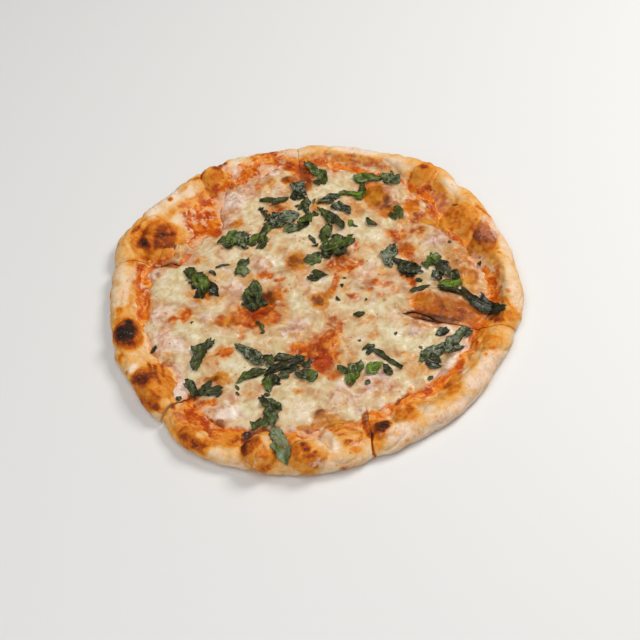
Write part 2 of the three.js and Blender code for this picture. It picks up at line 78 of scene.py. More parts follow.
# x, y, reach round the rim, reach across, height, how far it is baked
BUBBLES = [(-101, 47.5, 15, 17, 9, .60), (-117, 45.5, 8, 8, 2.5, .70), (-108, 60, 10, 12, 3, .42),
           (-65.5, 105, 10, 13, 5, .45), (-99.5, 84.5, 8, 8, 1, .22),
           (-124.5, -31, 10, 10, 4, .72), (-130, -13.5, 6, 6, .8, .35),
           (-105.5, -71.5, 15, 14, 4, .52), (-101, -88.5, 8, 8, 2, .40),
           (-80.5, -114, 10, 8, 2, .55), (-38.5, -123.5, 12, 16, 8.8, .36),
           (-10.3, -128, 13, 15, 6.6, .36), (11, -114, 13, 12, 5, .32),
           (35.8, -113.5, 9, 9, 3, .50), (51.5, -101, 10, 9, 3.5, .45), (66, -98, 8, 8, 1.5, .25),
           (107.5, -50, 10, 10, 2.5, .38), (114.8, 34, 10, 9, 6, .66), (117.5, 18.5, 8, 8, 1.5, .36),
           (125, -14.5, 6, 6, 1, .24), (79.5, 98, 9, 12, 3, .45), (100.5, 56.5, 13, 13, 4.5, .48),
           (69.5, 70.5, 10, 10, 3, .42), (49, 84, 12, 12, 2.6, .42)]
RIDGE = dict(a=(63, -7), b=(101, -20), near=13.0, far=8.0, height=6.4)

TOPPING_EDGE = np.array([
    (0, 17, 22), (16, 23, 27), (32, 30, 35), (46, 22, 27), (60, 20, 24), (76, 17, 21), (90, 15, 19),
    (103, 9, 16), (114, 11, 20), (123, 18, 24), (132, 21, 35), (141, 22, 50), (152, 42, 50),
    (163, 33, 39), (172, 17, 25), (186, 17, 24), (196, 22, 23), (205, 24, 24.6), (214, 31, 31.6),
    (222, 19, 25), (232, 13, 24), (244, 14, 28), (253, 26, 32), (262, 28, 31), (274, 29, 32),
    (286, 27, 32), (297, 29, 34), (310, 21, 27), (324, 20, 26), (338, 16, 25), (350, 16, 22)], float)

MOUNDS = [(-102, 12, 18, .9), (-84, -29, 16, 1), (-60, -52, 16, .9), (-24, -92, 18, 1), (-49, 63, 17, 1),
          (-18, 47, 15, .8), (-66, 40, 15, .7), (-17, -3, 13, .7), (46, -40, 22, 1.1), (61, -54, 13, .6),
          (32, 45, 17, .9), (12, 95, 14, .8), (46, 108, 12, .7), (71, 11, 12, .6), (88, 38, 14, .7),
          (-58, 84, 14, .8), (-68, -99, 12, .7), (12, -88, 13, .6), (104, -3, 9, .5)]

# small baked domes in the cheese: VIEW x, y, reach, height
DOMES = [(-15, 31, 8, 1.3), (-1, -6, 7, 1.2), (-28, 80, 8, 1.0), (-18, 108, 6, 1.0), (-66, -99, 4, 1.4),
         (-3, -97, 6, 1.4), (-56, 67, 6, .7), (43, 92, 8, 1.4), (44, 82, 6, .8), (60, 35, 7, 1.0),
         (-64, -44, 7, .9), (-66, -65, 7, .8), (-61, -20, 5, .8), (-37, 28, 7, .8), (6, 12, 4, .8),
         (66, -31, 5, .8), (59, -36, 4, .7), (104, 12, 4, .9), (98, 13, 4, .6), (-27, 120, 4, .9),
         (16, 116, 4, .8), (27, 116, 4, .8), (-76, -15, 5, .8), (-66, -34, 4, .9), (22, -2, 4, .6),
         (52, -60, 8, .6), (-90, -11, 5, .8), (-98, -16, 4, .7), (26, 43, 5, .8), (-48, -75, 5, .6),
         (7, -95, 4, .8), (35, -76, 7, .5), (8, -27, 6, .8), (3, -44, 6, .9), (64, -58, 5, .4)]

# folds of cheese: height, half width, VIEW x, y of its line
FLAPS = [(2.3, 3.0, (97, -41, 93, -48, 87, -56, 79, -65, 72, -72)), (1.0, 2.2, (62, 0, 72, 0, 82, -3, 90, -9, 98, -17)),
         (.7, 2.0, (-66, -84, -60, -90, -58, -97)), (.7, 2.0, (-98, -50, -95, -58, -92, -66)), (.6, 1.8, (-52, 97, -56, 90, -54, 84)),
         (.6, 1.6, (-30, 36, -32, 30, -29, 25)), (.5, 1.6, (50, -14, 60, -22)), (.5, 2.0, (12, -44, 15, -54)),
         (.6, 2.0, (-112, -20, -110, -32, -104, -42))]

# -------------------------------------------------------------- painting -----
# kind, strength, x, y, half length, half width, turn in degrees (a spot), or
# "~kind", strength, half width, x1, y1, x2, y2, ... (a stroke).
# "b" and "~b" set the browning itself: 0 floury, .4 golden, .7 brown, 1 burnt.
# shade darkens the cheese: mostly painted shade where shadow falls beside and under the leaves and in the open gap of
# the first cut, in a few places a darker baked tint; white is partly paler cheese and partly painted highlights
PAINT = [
    # thick, creamy cheese
    ("cream", .90, -105, 14, 12, 11, 0), ("cream", .85, -93, 22, 9, 8, 0), ("cream", .6, -95, 2, 8, 7, 0),
    ("cream", .95, -86, -27, 12, 9, 0), ("cream", .8, -70, -34, 8, 6, 0), ("cream", .75, -99, -24, 7, 6, 0),
    ("cream", .95, -57, -55, 13, 9, 0), ("cream", .8, -60, -66, 8, 7, 0), ("cream", .7, -80, -62, 7, 7, 0),
    ("cream", .85, -28, -84, 9, 7, 0), ("cream", .95, -15, -91, 14, 10, 0), ("cream", .85, -49, -89, 8, 7, 0),
    ("cream", .75, -48, 69, 11, 9, 0), ("warm", .8, -63, 67, 4, 6, 0), ("cream", .7, -50, 83, 8, 8, 0), ("cream", .75, -39, 86, 6, 10, 0),
    ("cream", .6, -20, 50, 9, 8, 0), ("cream", .85, -9, 57, 6, 9, 0), ("cream", .7, -14, 43, 7, 5, 0),
    ("cream", .85, -27, 30, 5, 8, 0), ("cream", .8, -72, 42, 9, 7, 0), ("cream", .75, -58, 37, 9, 6, 0),
    ("cream", .75, -79, 52, 7, 8, 0), ("cream", .9, -17, -2, 8, 8, 0), ("cream", .8, -10, -9, 8, 6, 0),
    ("cream", .95, 44, -38, 18, 13, -8), ("cream", .85, 34, -17, 11, 7, 0), ("cream", .8, 60, -47, 13, 8, 0), ("cream", .8, 47, -57, 7, 5, 0), ("white", .5, 46, -61, 6, 4, 0), ("white", .35, 25, 43, 4, 4, 0), ("pink", .6, 24, 45, 4, 4, 0),
    ("cream", .75, 28, 53, 12, 9, 0), ("cream", .8, 38, 52, 9, 8, 0), ("cream", .6, 33, 64, 9, 6, 0),
    ("cream", .85, 11, 97, 8, 10, 0), ("cream", .7, 22, 108, 7, 7, 0), ("cream", .7, -1, 92, 8, 6, 0),
    ("cream", .9, 2, 12, 6, 5, 0), ("cream", .85, 73, 13, 6, 8, 0), ("cream", .7, 53, -7, 8, 6, -30),
    ("cream", .8, 26, -52, 5, 5, 0), ("cream", .6, 50, -72, 10, 6, 0), ("cream", .7, -4, -74, 8, 5, 0),
    ("cream", .6, -46, -62, 8, 6, 0), ("cream", .7, -26, -71, 8, 5, 0), ("cream", .6, -40, 41, 8, 6, 0),
    ("cream", .7, 46, 113, 8, 5, 0), ("cream", .8, -8, 72, 5, 7, 0), ("cream", .6, 45, 25, 7, 5, 0),
    ("cream", .6, 80, 33, 5, 5, 0), ("cream", .6, -36, -62, 6, 5, 0), ("cream", .7, 57, 68, 6, 5, 0),
    ("cream", .6, -42, -25, 6, 4, 0), ("cream", .9, -29, -43, 8, 7, 0), ("cream", .8, -22, -46, 5, 3, 0), ("cream", .5, 20, -30, 6, 5, 0),
    # thin, translucent, pinkish cheese
    ("pink", 1.0, -60, 91, 14, 14, 0), ("pink", .8, -46, 102, 9, 7, 0), ("pink", 1.0, -33, 117, 11, 9, 0), ("grey", .9, -61, 93, 10, 9, 0), ("grey", .6, -30, 119, 7, 6, 0), ("grey", .7, -12, -24, 5, 4, 0), ("grey", .6, -60, 14, 6, 4, 0),
    ("pink", .5, -30, 104, 8, 5, 0), ("pink", .5, -88, 50, 5, 8, 0), ("pink", .85, -40, 29, 8, 8, 0),
    ("pink", .6, -52, 62, 8, 5, 0), ("grey", .7, -112, 27, 5, 6, 0), ("pink", .75, -104, -10, 6, 9, 0),
    ("pink", .85, -104, -31, 7, 8, 0), ("pink", .7, -100, -20, 6, 5, 0), ("grey", .7, -76, -15, 5, 5, 0),
    ("pink", .7, -14, -25, 9, 7, 0), ("mauve", .8, -24, -28, 4, 2.6, 0), ("mauve", .8, -13, -27, 3.4, 2.4, 0), ("mauve", .7, -5, -19, 3.4, 2.4, 0), ("mauve", .6, -18, -20, 3.4, 2.4, 0), ("~mauve", .6, 1.6, -104, -2, -97, 0, -90, -3), ("mauve", .5, -104, -14, 3, 4, 0),
    ("mauve", .4, -54, 92, 3, 4, 0), ("mauve", .4, -64, 85, 3, 3, 0), ("mauve", .6, -33, 110, 4, 3, 0), ("mauve", .5, -68, -15, 4, 3, 0), ("mauve", .5, -57, 4, 6, 5, 0),
    ("mauve", .15, 10, -86, 7, 4, 0), ("mauve", .2, 34, -80, 7, 4, 0), ("mauve", .5, 60, -30, 3, 3, 0), ("mauve", .5, -40, 25, 6, 4, 0), ("mauve", .5, 30, 8, 6, 5, 0), ("mauve", .5, 48, 12, 6, 4, 0),
    ("shade", .4, -24, 22, 6, 4, 0), ("shade", .4, 14, 28, 8, 5, 0), ("shade", .45, -2, -50, 8, 8, 0), ("shade", .3, 60, 44, 6, 9, 0), ("shade", .3, 30, 74, 8, 6, 0), ("pink", 1.0, -69, -92, 9, 9, 0), ("grey", .6, -58, -93, 7, 7, 0),
    ("pink", .45, 10, -84, 11, 9, 0), ("white", .25, 10, -84, 8, 6, 0), ("grey", .6, 12, -74, 6, 6, 0), ("pink", .65, 33, -77, 13, 9, 0), ("grey", .75, 33, -77, 10, 7, 0), ("white", .35, 34, -77, 9, 5, 0), ("warm", .7, 46, 5, 9, 7, 0), ("white", .5, -15, -92, 11, 7, 0), ("white", .35, -70, -92, 6, 5, 0), ("pink", .40, -82, 76, 12, 12, 0), ("~pink", .5, 1.8, -88, 88, -86, 78, -85, 68), ("~pink", .5, 1.6, -80, 81, -78, 73), ("red", .5, -78, 90, 4, 4, 0), ("~pink", .4, 1.6, -74, 82, -73, 72),
    ("pink", .75, 84, 43, 13, 9, 0), ("grey", .40, 84, 43, 10, 7, 0), ("grey", .3, 80, 50, 8, 5, 0), ("mauve", .30, 84, 44, 11, 9, 0), ("shade", .15, 84, 44, 11, 9, 0), ("pink", .4, 93, 25, 9, 11, 0), ("warm", 1.0, 94, 25, 10, 14, 0), ("shade", .30, 88, 36, 14, 12, 0), ("shade", .48, 95, 23, 10, 13, 0), ("pink", .9, 65, 104, 5, 9, 0),
    ("pink", .6, 55, 94, 6, 5, 0), ("pink", .85, 64, -32, 7, 5, 0), ("grey", .9, 59, -36, 4, 4, 0),
    ("pink", .85, 107, -4, 6, 5, 0), ("pink", .65, 45, 5, 11, 8, 0), ("pink", .5, 30, 12, 8, 8, 0),
    ("pink", .6, -60, -5, 8, 6, 0), ("pink", .6, -60, 10, 8, 7, 0), ("pink", .7, -92, -70, 5, 9, 0),
    ("grey", .8, -93, -72, 2.5, 6, -10), ("pink", .6, 52, -22, 6, 4, -20), ("pink", .7, 82, -38, 8, 3, 40),
    ("warm", 1.0, 72, 52, 7, 7, 0), ("orange", .55, 71, 53, 5, 6, 0), ("shade", .3, 72, 52, 6, 6, 0), ("pink", .3, 76, 60, 6, 6, 0), ("pink", .6, -57, -79, 6, 4, 0), ("grey", .6, 20, -92, 3, 8, 0),
    ("pink", .5, -75, 12, 5, 5, 0), ("grey", .6, 30, -66, 7, 4, 0), ("pink", .55, 24, 20, 8, 6, 0),
    # the warm, orange-tinted cheese
    ("warm", .7, -30, 108, 7, 6, 0), ("warm", .7, -22, 84, 8, 6, 0), ("warm", .6, -68, 20, 8, 6, 0),
    ("warm", .7, 52, -57, 10, 7, 0), ("warm", .7, 66, -66, 9, 6, 0), ("warm", .5, -24, 55, 6, 9, 0),
    ("warm", .7, 30, 80, 8, 8, 0), ("warm", .6, 28, 72, 6, 6, 0), ("warm", .6, 22, 34, 6, 8, 0),
    ("warm", .6, -70, 0, 8, 7, 0), ("warm", .7, 12, -52, 5, 8, 0), ("warm", .7, 100, 15, 8, 14, 0),
    ("warm", 1.0, 100, 1, 6, 8, 0), ("gold", .6, 100, 5, 4.5, 7, 0), ("warm", .6, -82, 36, 6, 4, 0), ("warm", .6, 36, -84, 10, 4, 0),
    ("warm", .6, 45, 18, 9, 5, 0), ("warm", .6, 8, 40, 5, 5, 0), ("warm", .6, -74, -50, 7, 8, 0),
    ("warm", .6, 10, 60, 5, 5, 0), ("warm", .7, -95, 44, 8, 6, 0), ("warm", .6, 34, 40, 5, 7, 0),
    ("warm", .6, -48, 20, 6, 5, 0), ("warm", .6, 30, -25, 8, 5, 0), ("warm", .5, -85, 8, 5, 5, 0),
    # sauce that shows through
    ("orange", .9, -82, 75, 15, 15, 25), ("orange", .6, -72, 66, 6, 10, 0), ("pink", .8, -64, 66, 4, 6, 0), ("orange", 1.0, -45, -15, 14, 10, 0), ("shade", .6, -42, -14, 9, 7, 0), ("shade", .35, -58, -17, 6, 5, 0),
    ("orange", .85, -61, -17, 9, 6, 0), ("orange", .9, -33, -12, 8, 11, 0), ("orange", .8, -26, 3, 4, 10, 0),
    ("orange", .85, -37, 20, 6, 4, 0), ("orange", .9, 16, 26, 12, 8, -5), ("~orange", .85, 2.4, 12, 16, 10, 9, 8, 3),
    ("orange", .9, -2, -48, 13, 14, 0), ("orange", .6, 8, -28, 7, 9, 0), ("pink", .5, 6, -24, 5, 4, 0), ("orange", .7, 4, -37, 9, 7, 0), ("orange", .65, 5, -66, 5, 5, 0), ("shade", .35, 6, -66, 5, 5, 0),
    ("orange", .85, -16, -43, 8, 5, 0), ("orange", .9, 60, 36, 7, 7, 0), ("amber", .8, 60, 37, 6, 6, 0), ("orange", .85, 57, 51, 8, 6, 0),
    ("orange", .85, -64, -44, 7, 5, 0), ("orange", .85, -90, -11, 5, 6, 0), ("orange", .7, -98, -15, 4, 3, 0),
    ("orange", .6, 38, 9, 5, 4, 0), ("orange", .6, 46, 6, 4, 3, 0), ("orange", .7, 22, -2, 4, 3, 0),
    ("orange", .5, 33, 2, 3, 2, 0), ("orange", .5, 50, 0, 3, 2, 0), ("orange", .5, 40, -3, 3, 2, 0),
    ("orange", .9, -86, -91, 12, 11, 0), ("orange", .7, -28, 79, 7, 5, 0), ("orange", .75, -18, 107, 6, 4, 0),
    ("orange", .6, -39, 103, 4, 5, 0), ("orange", .9, 62, 8, 3, 6, 15), ("orange", .7, 69, 75, 9, 11, 0),
    ("orange", .5, -53, 68, 4, 2, 0), ("orange", .6, 16, 116, 3, 5, 0), ("orange", .6, 27, 117, 3, 5, 0),
    ("orange", .8, -20, -52, 8, 4, 0), ("orange", .6, -52, -28, 3, 5, 0), ("orange", .7, -35, 2, 5, 5, 0),
    ("orange", .5, -83, 36, 3, 3, 0), ("orange", .6, 26, 42, 3, 7, 0), ("orange", .5, -70, -51, 3, 3, 0),
    ("orange", .7, -75, -83, 6, 3, 0), ("orange", .7, 58, -90, 6, 5, 0), ("orange", .6, -72, -83, 5, 3, 0),
    # deep red
    ("red", 1.0, -1, -56, 7, 9, 0), ("red", .6, -8, -52, 4, 4, 0), ("red", .6, -12, -44, 4, 3, 0),
    ("red", .7, -84, -93, 4, 7, 0), ("red", .65, -76, -96, 5, 5, 0), ("~red", .8, 2, -78, -99, -72, -109),
    ("red", .85, -84, -78, 5, 2, 10), ("red", .9, -42, -13, 6, 5, 0), ("red", .6, -49, -21, 4, 4, 30),
    ("red", .6, -31, -19, 4, 4, 0), ("red", .7, -27, 15, 5, 1.6, 18), ("red", .5, -33, 25, 1.6, 3, 0),
    ("red", .6, 9, 27, 3, 4, 0), ("red", .6, 13, 33, 3, 3, 0), ("red", .6, 29, 27, 2.5, 3, 0),
    ("red", .6, 21, 23, 2.5, 2.5, 0), ("~red", .7, 1.5, -93, 83, -91, 74, -89, 66), ("red", .6, -79, 91, 4, 3, 0),
    ("red", .6, -76, 78, 4, 5, 0), ("red", .6, -76, 65, 4, 3, 0), ("red", .7, -69, 62, 3, 4, 0),
    ("red", .5, -84, 82, 3, 4, 0), ("red", .5, -93, 88, 3, 3, 0), ("red", .7, 66, 53, 3, 2.5, 30),
    # the brown spot at 17, 35 is painted shadow under the leaf there
    ("red", .6, 54, 47, 3, 4, 0), ("red", .7, 63, 30, 3.5, 4, 0), ("amber", .75, 63, 24, 4.5, 4.5, 0), ("brown", .8, 17, 35, 7, 3.4, 15), ("shade", .4, 88, 2, 7, 5, 0), ("red", .5, 61, 40, 2, 3, 0),
    ("red", .6, -90, -11, 3, 4, 0), ("red", .5, -64, -46, 3, 2.5, 0), ("red", .5, 22, -2, 2.5, 2, 0),
    ("red", .5, 45, 7, 2, 2, 0), ("red", .5, -53, -32, 3, 2.5, 0), ("red", .6, 8, -22, 3, 4, 0),
    # golden and brown spots of the cheese
    ("amber", .7, -15, 30, 8, 8, 0), ("gold", .8, -14, 30, 7, 7, 0), ("brown", 1.0, -16, 31, 4.5, 4.5, 0),
    ("amber", .8, -1, -6, 6, 8, 0), ("gold", .7, 0, -6, 5, 7, 0), ("brown", 1.0, -2, -5, 3.6, 4.4, 20), ("gold", .5, 5, 1, 4, 4, 0),
    ("brown", .6, -27, 81, 5, 4, 0), ("gold", .8, -56, 67, 5, 3.5, 0), ("brown", .7, -18, 108, 4, 3, 0),
    ("amber", 1.0, 43, 88, 9, 14, 0), ("gold", .8, 43, 90, 7, 11, 0), ("shade", .35, 43, 88, 8, 12, 0), ("brown", .55, 45, 93, 3, 4, 0), ("brown", .8, 51, 82, 3, 6, 10),
    ("brown", .85, 50, 74, 4.5, 3.4, 30), ("brown", .85, 53, 72, 3.6, 6, 0), ("brown", .8, 56, 78, 3.4, 4.4, 0), ("amber", .6, 52, 73, 7, 6, 0), ("brown", .5, 43, 81, 3, 3, 0), ("gold", .7, 3, 81, 5, 4, 0),
    ("brown", .6, 3, 84, 3, 1.4, 0), ("gold", .8, 98, 12, 3, 6, 0), ("brown", .6, 104, 12, 2.4, 4, 0),
    ("gold", .6, 103, 26, 3, 6, 0), ("gold", .6, 102, 40, 4, 5, 0), ("brown", .4, 99, 40, 2, 3, 0),
    ("brown", .7, -3, -97, 4, 3.5, 0), ("gold", .6, 0, -100, 8, 3, 0), ("brown", .4, 6, -94, 2.4, 2, 0),
    ("brown", .75, -67, -99, 3, 3.5, 0), ("gold", .5, -47, -75, 5, 4, 0), ("gold", .8, -66, -65, 7, 4.5, 0),
    ("brown", .85, -72, -65, 4.5, 2.2, 10), ("brown", .6, -61, -20, 2.4, 2.6, 0), ("gold", .4, -68, 42, 2, 4, -30),
    ("brown", .5, -109, 25, 1.8, 2.6, 0), ("brown", .6, -27, 120, 2.4, 2.6, 0), ("gold", .5, -88, 5, 3, 4, 0),
    ("brown", 1.0, -34, 1, 5, 6.5, -15), ("shade", .5, -34, 0, 6, 7, 0), ("amber", .6, -29, 4, 4, 7, 0), ("gold", .5, 55, -28, 3, 2.5, 0), ("brown", .4, -74, -53, 2, 2, 0),
    ("brown", .5, -84, 36, 2.4, 1.6, 0), ("brown", .8, 16, -73, 1.8, 4, -20), ("brown", .6, -20, -53, 6, 2.6, 0),
    ("gold", .6, 56, -90, 5, 4, 0), ("gold", .4, 35, -76, 5, 4, 0), ("brown", .3, 94, 22, 3, 3, 0),
    ("brown", .35, 92, 34, 2.4, 3, 0), ("brown", .3, 76, 46, 3, 2, 0), ("gold", .4, -30, 107, 4, 3, 0),
    ("gold", .5, 33, -21, 3, 2, 0), ("gold", .4, -18, -78, 3, 2.4, 0), ("gold", .4, 49, -60, 5, 2.5, 0),
    ("brown", .35, 66, -67, 4, 2, 0), ("gold", .5, -62, -18, 6, 3, 0), ("gold", .5, -80, 3, 4, 4, 0),
    ("gold", .5, 12, -58, 3, 4, 0), ("gold", .5, 60, 38, 4, 4, 0), ("brown", .4, 35, 3, 1.6, 1.4, 0),
    ("brown", .4, 43, -7, 1.6, 1.4, 0), ("brown", .4, 49, 3, 1.4, 1.8, 0), ("brown", .4, 28, 4, 1.6, 1.2, 0),
    # pale stretched cheese, and painted highlights (glints on the wet fat), on top of the warm parts
    ("~cream", .8, .9, -58, 99, -57, 94, -54, 90), ("~cream", .7, .9, -51, 96, -50, 91),
    ("~cream", .8, 1.3, -34, 36, -31, 33, -29, 28), ("~cream", .35, 2.0, -29, -4, -28, -9, -26, -13),
    ("~cream", .7, 1.2, 8, 15, 7, 11, 5, 8), ("~cream", .3, 1.5, -88, 84, -84, 80), ("~cream", .3, 1.5, -80, 72, -77, 68),
    ("~cream", .3, 1.5, 57, 55, 58, 50), ("~cream", .3, 1.5, 62, 54, 63, 50), ("~cream", .6, .9, -67, -84, -60, -90, -58, -96),
    ("~cream", .6, .8, 12, -86, 15, -92, 18, -98), ("~cream", .6, .9, 48, -14, 55, -22), ("~cream", .6, .7, 15, 26, 18, 23),
    ("~cream", .5, .7, 22, 30, 25, 27), ("~cream", .3, 1.4, 14, -45, 16, -54), ("~cream", .5, .7, -6, -70, -4, -77),
    ("~cream", .8, 1.5, 56, -20, 62, -25, 72, -30, 84, -32), ("~pink", .9, 1.2, 62, 0, 72, 1, 82, -2, 90, -7, 98, -14, 106, -23),
    ("~grey", 1.0, 3.4, 97, -41, 93, -48, 87, -56, 79, -65, 72, -72), ("~cream", .7, 1.6, -100, -50, -94, -56, -90, -62),
    ("~white", .50, 1.9, -101, -46, -97, -54, -93, -62, -92, -68), ("~white", .56, 1.8, -63, -83, -59, -90, -57, -97),
    ("white", .48, -64, -92, 5, 4, 0), ("white", .40, -108, -30, 4, 6, 0), ("white", .32, -100, -27, 4, 3, 0), ("white", .42, -105, -40, 4, 4, 0), ("grey", .7, -94, -36, 6, 8, 0), ("white", .5, -95, -37, 6, 7, 0),
    ("~white", .50, 1.5, -56, 97, -53, 92, -50, 87), ("white", .55, -60, 92, 8, 8, 0), ("white", .48, -30, 121, 5, 3, 0),
    ("white", .40, -36, 112, 3, 4, 0), ("~white", .50, 1.6, -34, 36, -31, 33, -29, 27), ("white", .40, -108, 28, 4, 4, 0),
    ("~white", .37, 1.2, -24, 13, -20, 5, -18, -3), ("~white", .43, 1.4, 13, 120, 13, 108), ("white", .56, 2, 12, 4, 3, 0),
    ("~white", .25, 1.9, 66, 63, 70, 54), ("~white", .37, 1.1, 57, 98, 60, 88), ("white", .40, 71, 14, 4, 5, 0),
    ("white", .48, 62, -34, 5, 4, 0), ("~grey", 1.0, 3.6, 97, -42, 92, -50, 86, -58, 78, -67), ("~white", .80, 2.8, 97, -42, 92, -50, 86, -58, 77, -67), ("~white", .31, 1.1, 50, -3, 58, -7),
    ("~white", .20, 1.9, 14, -46, 17, -56), ("white", .32, -86, -30, 5, 3, 0), ("white", .32, -56, -56, 5, 3, 0),
    ("white", .32, -16, -90, 6, 4, 0), ("white", .28, 44, -36, 7, 4, 0), ("white", .32, 12, 98, 4, 5, 0), ("white", .32, -48, 72, 4, 5, 0),
    ("white", .32, -20, -28, 4, 2, 0), ("white", .32, -8, -24, 3, 2, 0), ("white", .32, 28, -70, 5, 2.5, 0), ("white", .32, 12, -76, 4, 4, 0),
    ("white", .32, -73, -14, 4, 3, 0), ("white", .5, -93, -57, 5, 6, 0), ("pink", .8, 92, -51, 3, 5, -30), ("white", .4, -86, -43, 5, 5, 0),
    ("white", .4, -108, -10, 4, 6, 0), ("pink", .6, -95, 61, 4, 6, 0), ("pink", .6, -67, 77, 4, 6, 0), ("pink", .6, -78, -87, 4, 4, 0), ("warm", .6, 33, -38, 5, 5, 0), ("gold", .5, 33, -38, 3.4, 3.4, 0), ("cream", .7, 5, 79, 4, 3, 0), ("cream", .6, -46, -74, 5, 4, 0), ("warm", .7, 18, 6, 6, 5, 0), ("shade", .2, 18, 6, 6, 5, 0), ("warm", .9, 57, -67, 7, 5, 0), ("shade", .2, 57, -67, 7, 5, 0), ("warm", .7, 18, -58, 5, 5, 0), ("shade", .35, 18, -58, 5, 5, 0), ("white", .32, -26, 30, 3, 4, 0), ("white", .32, 33, 52, 6, 4, 0), ("white", .32, -104, 12, 5, 4, 0),
    # the opened bubble beside the first cut; the gold spots near its top are painted highlights
    ("~orange", 1.0, 8.5, 68, -11, 80, -14, 92, -21, 102, -27), ("~amber", 1.0, 7.5, 68, -11, 80, -14, 92, -20, 104, -27),
    ("~amber", 1.0, 4, 66, -17, 78, -21, 90, -25, 101, -30), ("warm", 1.0, 68, -30, 8, 3, -15), ("orange", .4, 68, -29.5, 6, 2, -15), ("shade", .3, 68, -30, 7, 3, -15), ("gold", .6, 71, -9, 6, 5, 0), ("gold", .45, 84, -14, 6, 3, -25),
    ("~red", .60, 1.8, 76, -18.5, 86, -18, 94, -20),  ("gold", .5, 96, -25, 6, 3, -25),
    ("red", .5, 97, -32, 4, 2.4, -20),
    # dark brown and browning strokes, and shade, along its lower edge: painted shadow in the open gap of the cut
    ("~brown", .95, 4.4, 63, -21.5, 70, -24, 79, -26, 89, -28), ("~b", .92, 3.2, 60, -20.5, 68, -24, 77, -26.5), ("~b", .80, 2.0, 76, -26, 88, -29),
    ("~shade", .75, 4.0, 66, -19.5, 75, -21.5, 86, -22.5, 97, -25), ("shade", .60, 90, -17, 9, 6, -25), ("shade", .22, 74, -10, 8, 6, 0),
    # a painted highlight along the raised edge of the next slice
    ("~white", .5, 1.4, 64, -27.5, 74, -31, 84, -32.5),
    # ---- rim, slice by slice: top left
    ("b", .46, -112, 58, 18, 17, 0), ("b", .60, -106, 60, 13, 12, 0), ("b", .70, -104, 61, 9, 9, 0),
    ("b", .72, -106, 51, 7, 3.4, 0), ("b", .72, -110, 61, 3, 7, 0), ("b", .52, -100, 66, 4, 3, 0),
    ("b", .72, -121.5, 55, 3.9, 4.5, 0), ("b", .46, -121, 66, 5, 4.5, 0), ("b", .66, -126.5, 68, 2, 5, -35),
    # the pale spot at -97, 76 is a painted highlight on the bubble
    ("b", .40, -111, 45, 12, 4, 0), ("b", .66, -121, 38, 7, 5, 0), ("b", .34, -94, 62, 3, 8, 0), ("flour", .4, -94, 62, 3, 8, 0), ("b", .14, -97, 76, 5, 5, 0), ("b", .50, -112, 75, 7, 2.4, 25),
    ("b", .38, -104, 80, 6, 4, 40), ("b", .10, -113, 86, 9, 7, 45), ("b", .07, -101, 98, 9, 6, 40), ("b", .12, -88, 102, 6, 5, 40), ("flour", .6, -88, 103, 6, 5, 40),
    ("b", .62, -103, 95.6, 2, 2, 0), ("~orange", .9, 5, -93, 87, -84, 92, -76, 99, -70, 108),
    ("b", .50, -68, 116, 7, 10, -25), ("b", .72, -69, 125, 3.5, 3, 0), ("red", .7, -70, 104, 4, 5, 0),
    ("~orange", .95, 4.6, -62, 108, -53, 118, -45, 128, -36, 135, -30, 137, -24, 130, -16, 123, -11, 116),
    ("~red", .6, 1.5, -58, 112, -50, 121, -43, 130, -33, 137), ("~red", .8, 1.8, -30, 138, -24, 130, -15, 123), ("pink", .8, -45, 127, 4, 6, 40), ("pink", .5, -40, 131, 3, 3, 0),
    ("b", .14, -57, 121, 5.5, 7, -30), ("flour", .9, -57, 121, 5, 6, -30), ("flour", 1.0, -17, 134, 8, 4, 0), ("pink", .9, -56, 114, 4, 6, -30), ("b", .10, -52, 134, 10, 4, 40), ("~b", .28, 1.5, -16, 133, -8, 137),
    # left
    ("b", .13, -134, 17, 6, 20, 0), ("b", .22, -137, 20, 2, 4, 0), ("b", .20, -131, 30, 2, 4, 0),
    ("~orange", 1.0, 4.2, -122, 36, -120, 24, -118, 10, -117, -8), ("red", .85, -121, 33, 4, 4, 0), ("~red", .6, 2.0, -119, 21, -118, 15),
    ("~red", .6, 2.2, -118, 6, -117, 0), ("pink", .55, -119, 11, 4, 8, 0), ("b", .34, -125.5, 10, 3, 8, 0), ("b", .36, -128, -4, 4.5, 5, 0),
    ("b", .58, -134, -5, 2.4, 4, 0), ("~red", .8, 2.0, -108, 37, -102, 34, -97, 33),
    ("b", .30, -126, -20, 12, 16, 0), ("b", .62, -128, -24, 8.5, 12.5, 0), ("b", .82, -129, -22, 7.5, 10, 0),
    ("b", 1.0, -130, -22, 5.6, 7.6, 0), ("b", 1.0, -127, -15, 2.2, 3, -20), ("b", .48, -134, -13, 4, 4, 0), ("b", .56, -125, -36, 5, 3, 0),
    ("b", .48, -120, -30, 3, 6, 0), ("~b", .16, 1.6, -116, -18, -114, -32, -112, -42),
    # the pale spot at -124, -52 is a painted highlight
    ("b", .22, -121, -44, 6, 6, 0), ("b", .58, -130, -44, 2.6, 3.6, 0), ("b", .04, -124, -52, 3.5, 3.5, 0),
    ("b", .48, -108, -66, 13, 23, -8), ("b", .68, -116, -61, 6.5, 6, 0), ("b", .78, -117, -62, 3.2, 3.4, 0),
    ("b", .78, -107, -84, 3, 3.2, 0), ("~b", .68, 1.1, -109, -50, -108, -60, -105, -66), ("~b", .66, 1.1, -104, -50, -103, -60),
    ("~b", .70, 1.2, -113, -50, -111, -57), ("b", .62, -103, -48, 5, 2, 15), ("b", .10, -91, -70, 6, 11, -8), ("flour", 1.0, -90, -70, 6, 11, -8), ("pink", 1.0, -91, -71, 5, 9, -8),
    ("~b", .60, 1.0, -111, -70, -106, -78), ("b", .18, -107, -91, 4, 3, 0), ("~b", .12, 1.4, -101, -50, -96, -58, -95, -64),
    # bottom; the palest spots and flour on the tops of the bubbles near -12..3, -121..-111 and at 45, -113 are painted
    # highlights
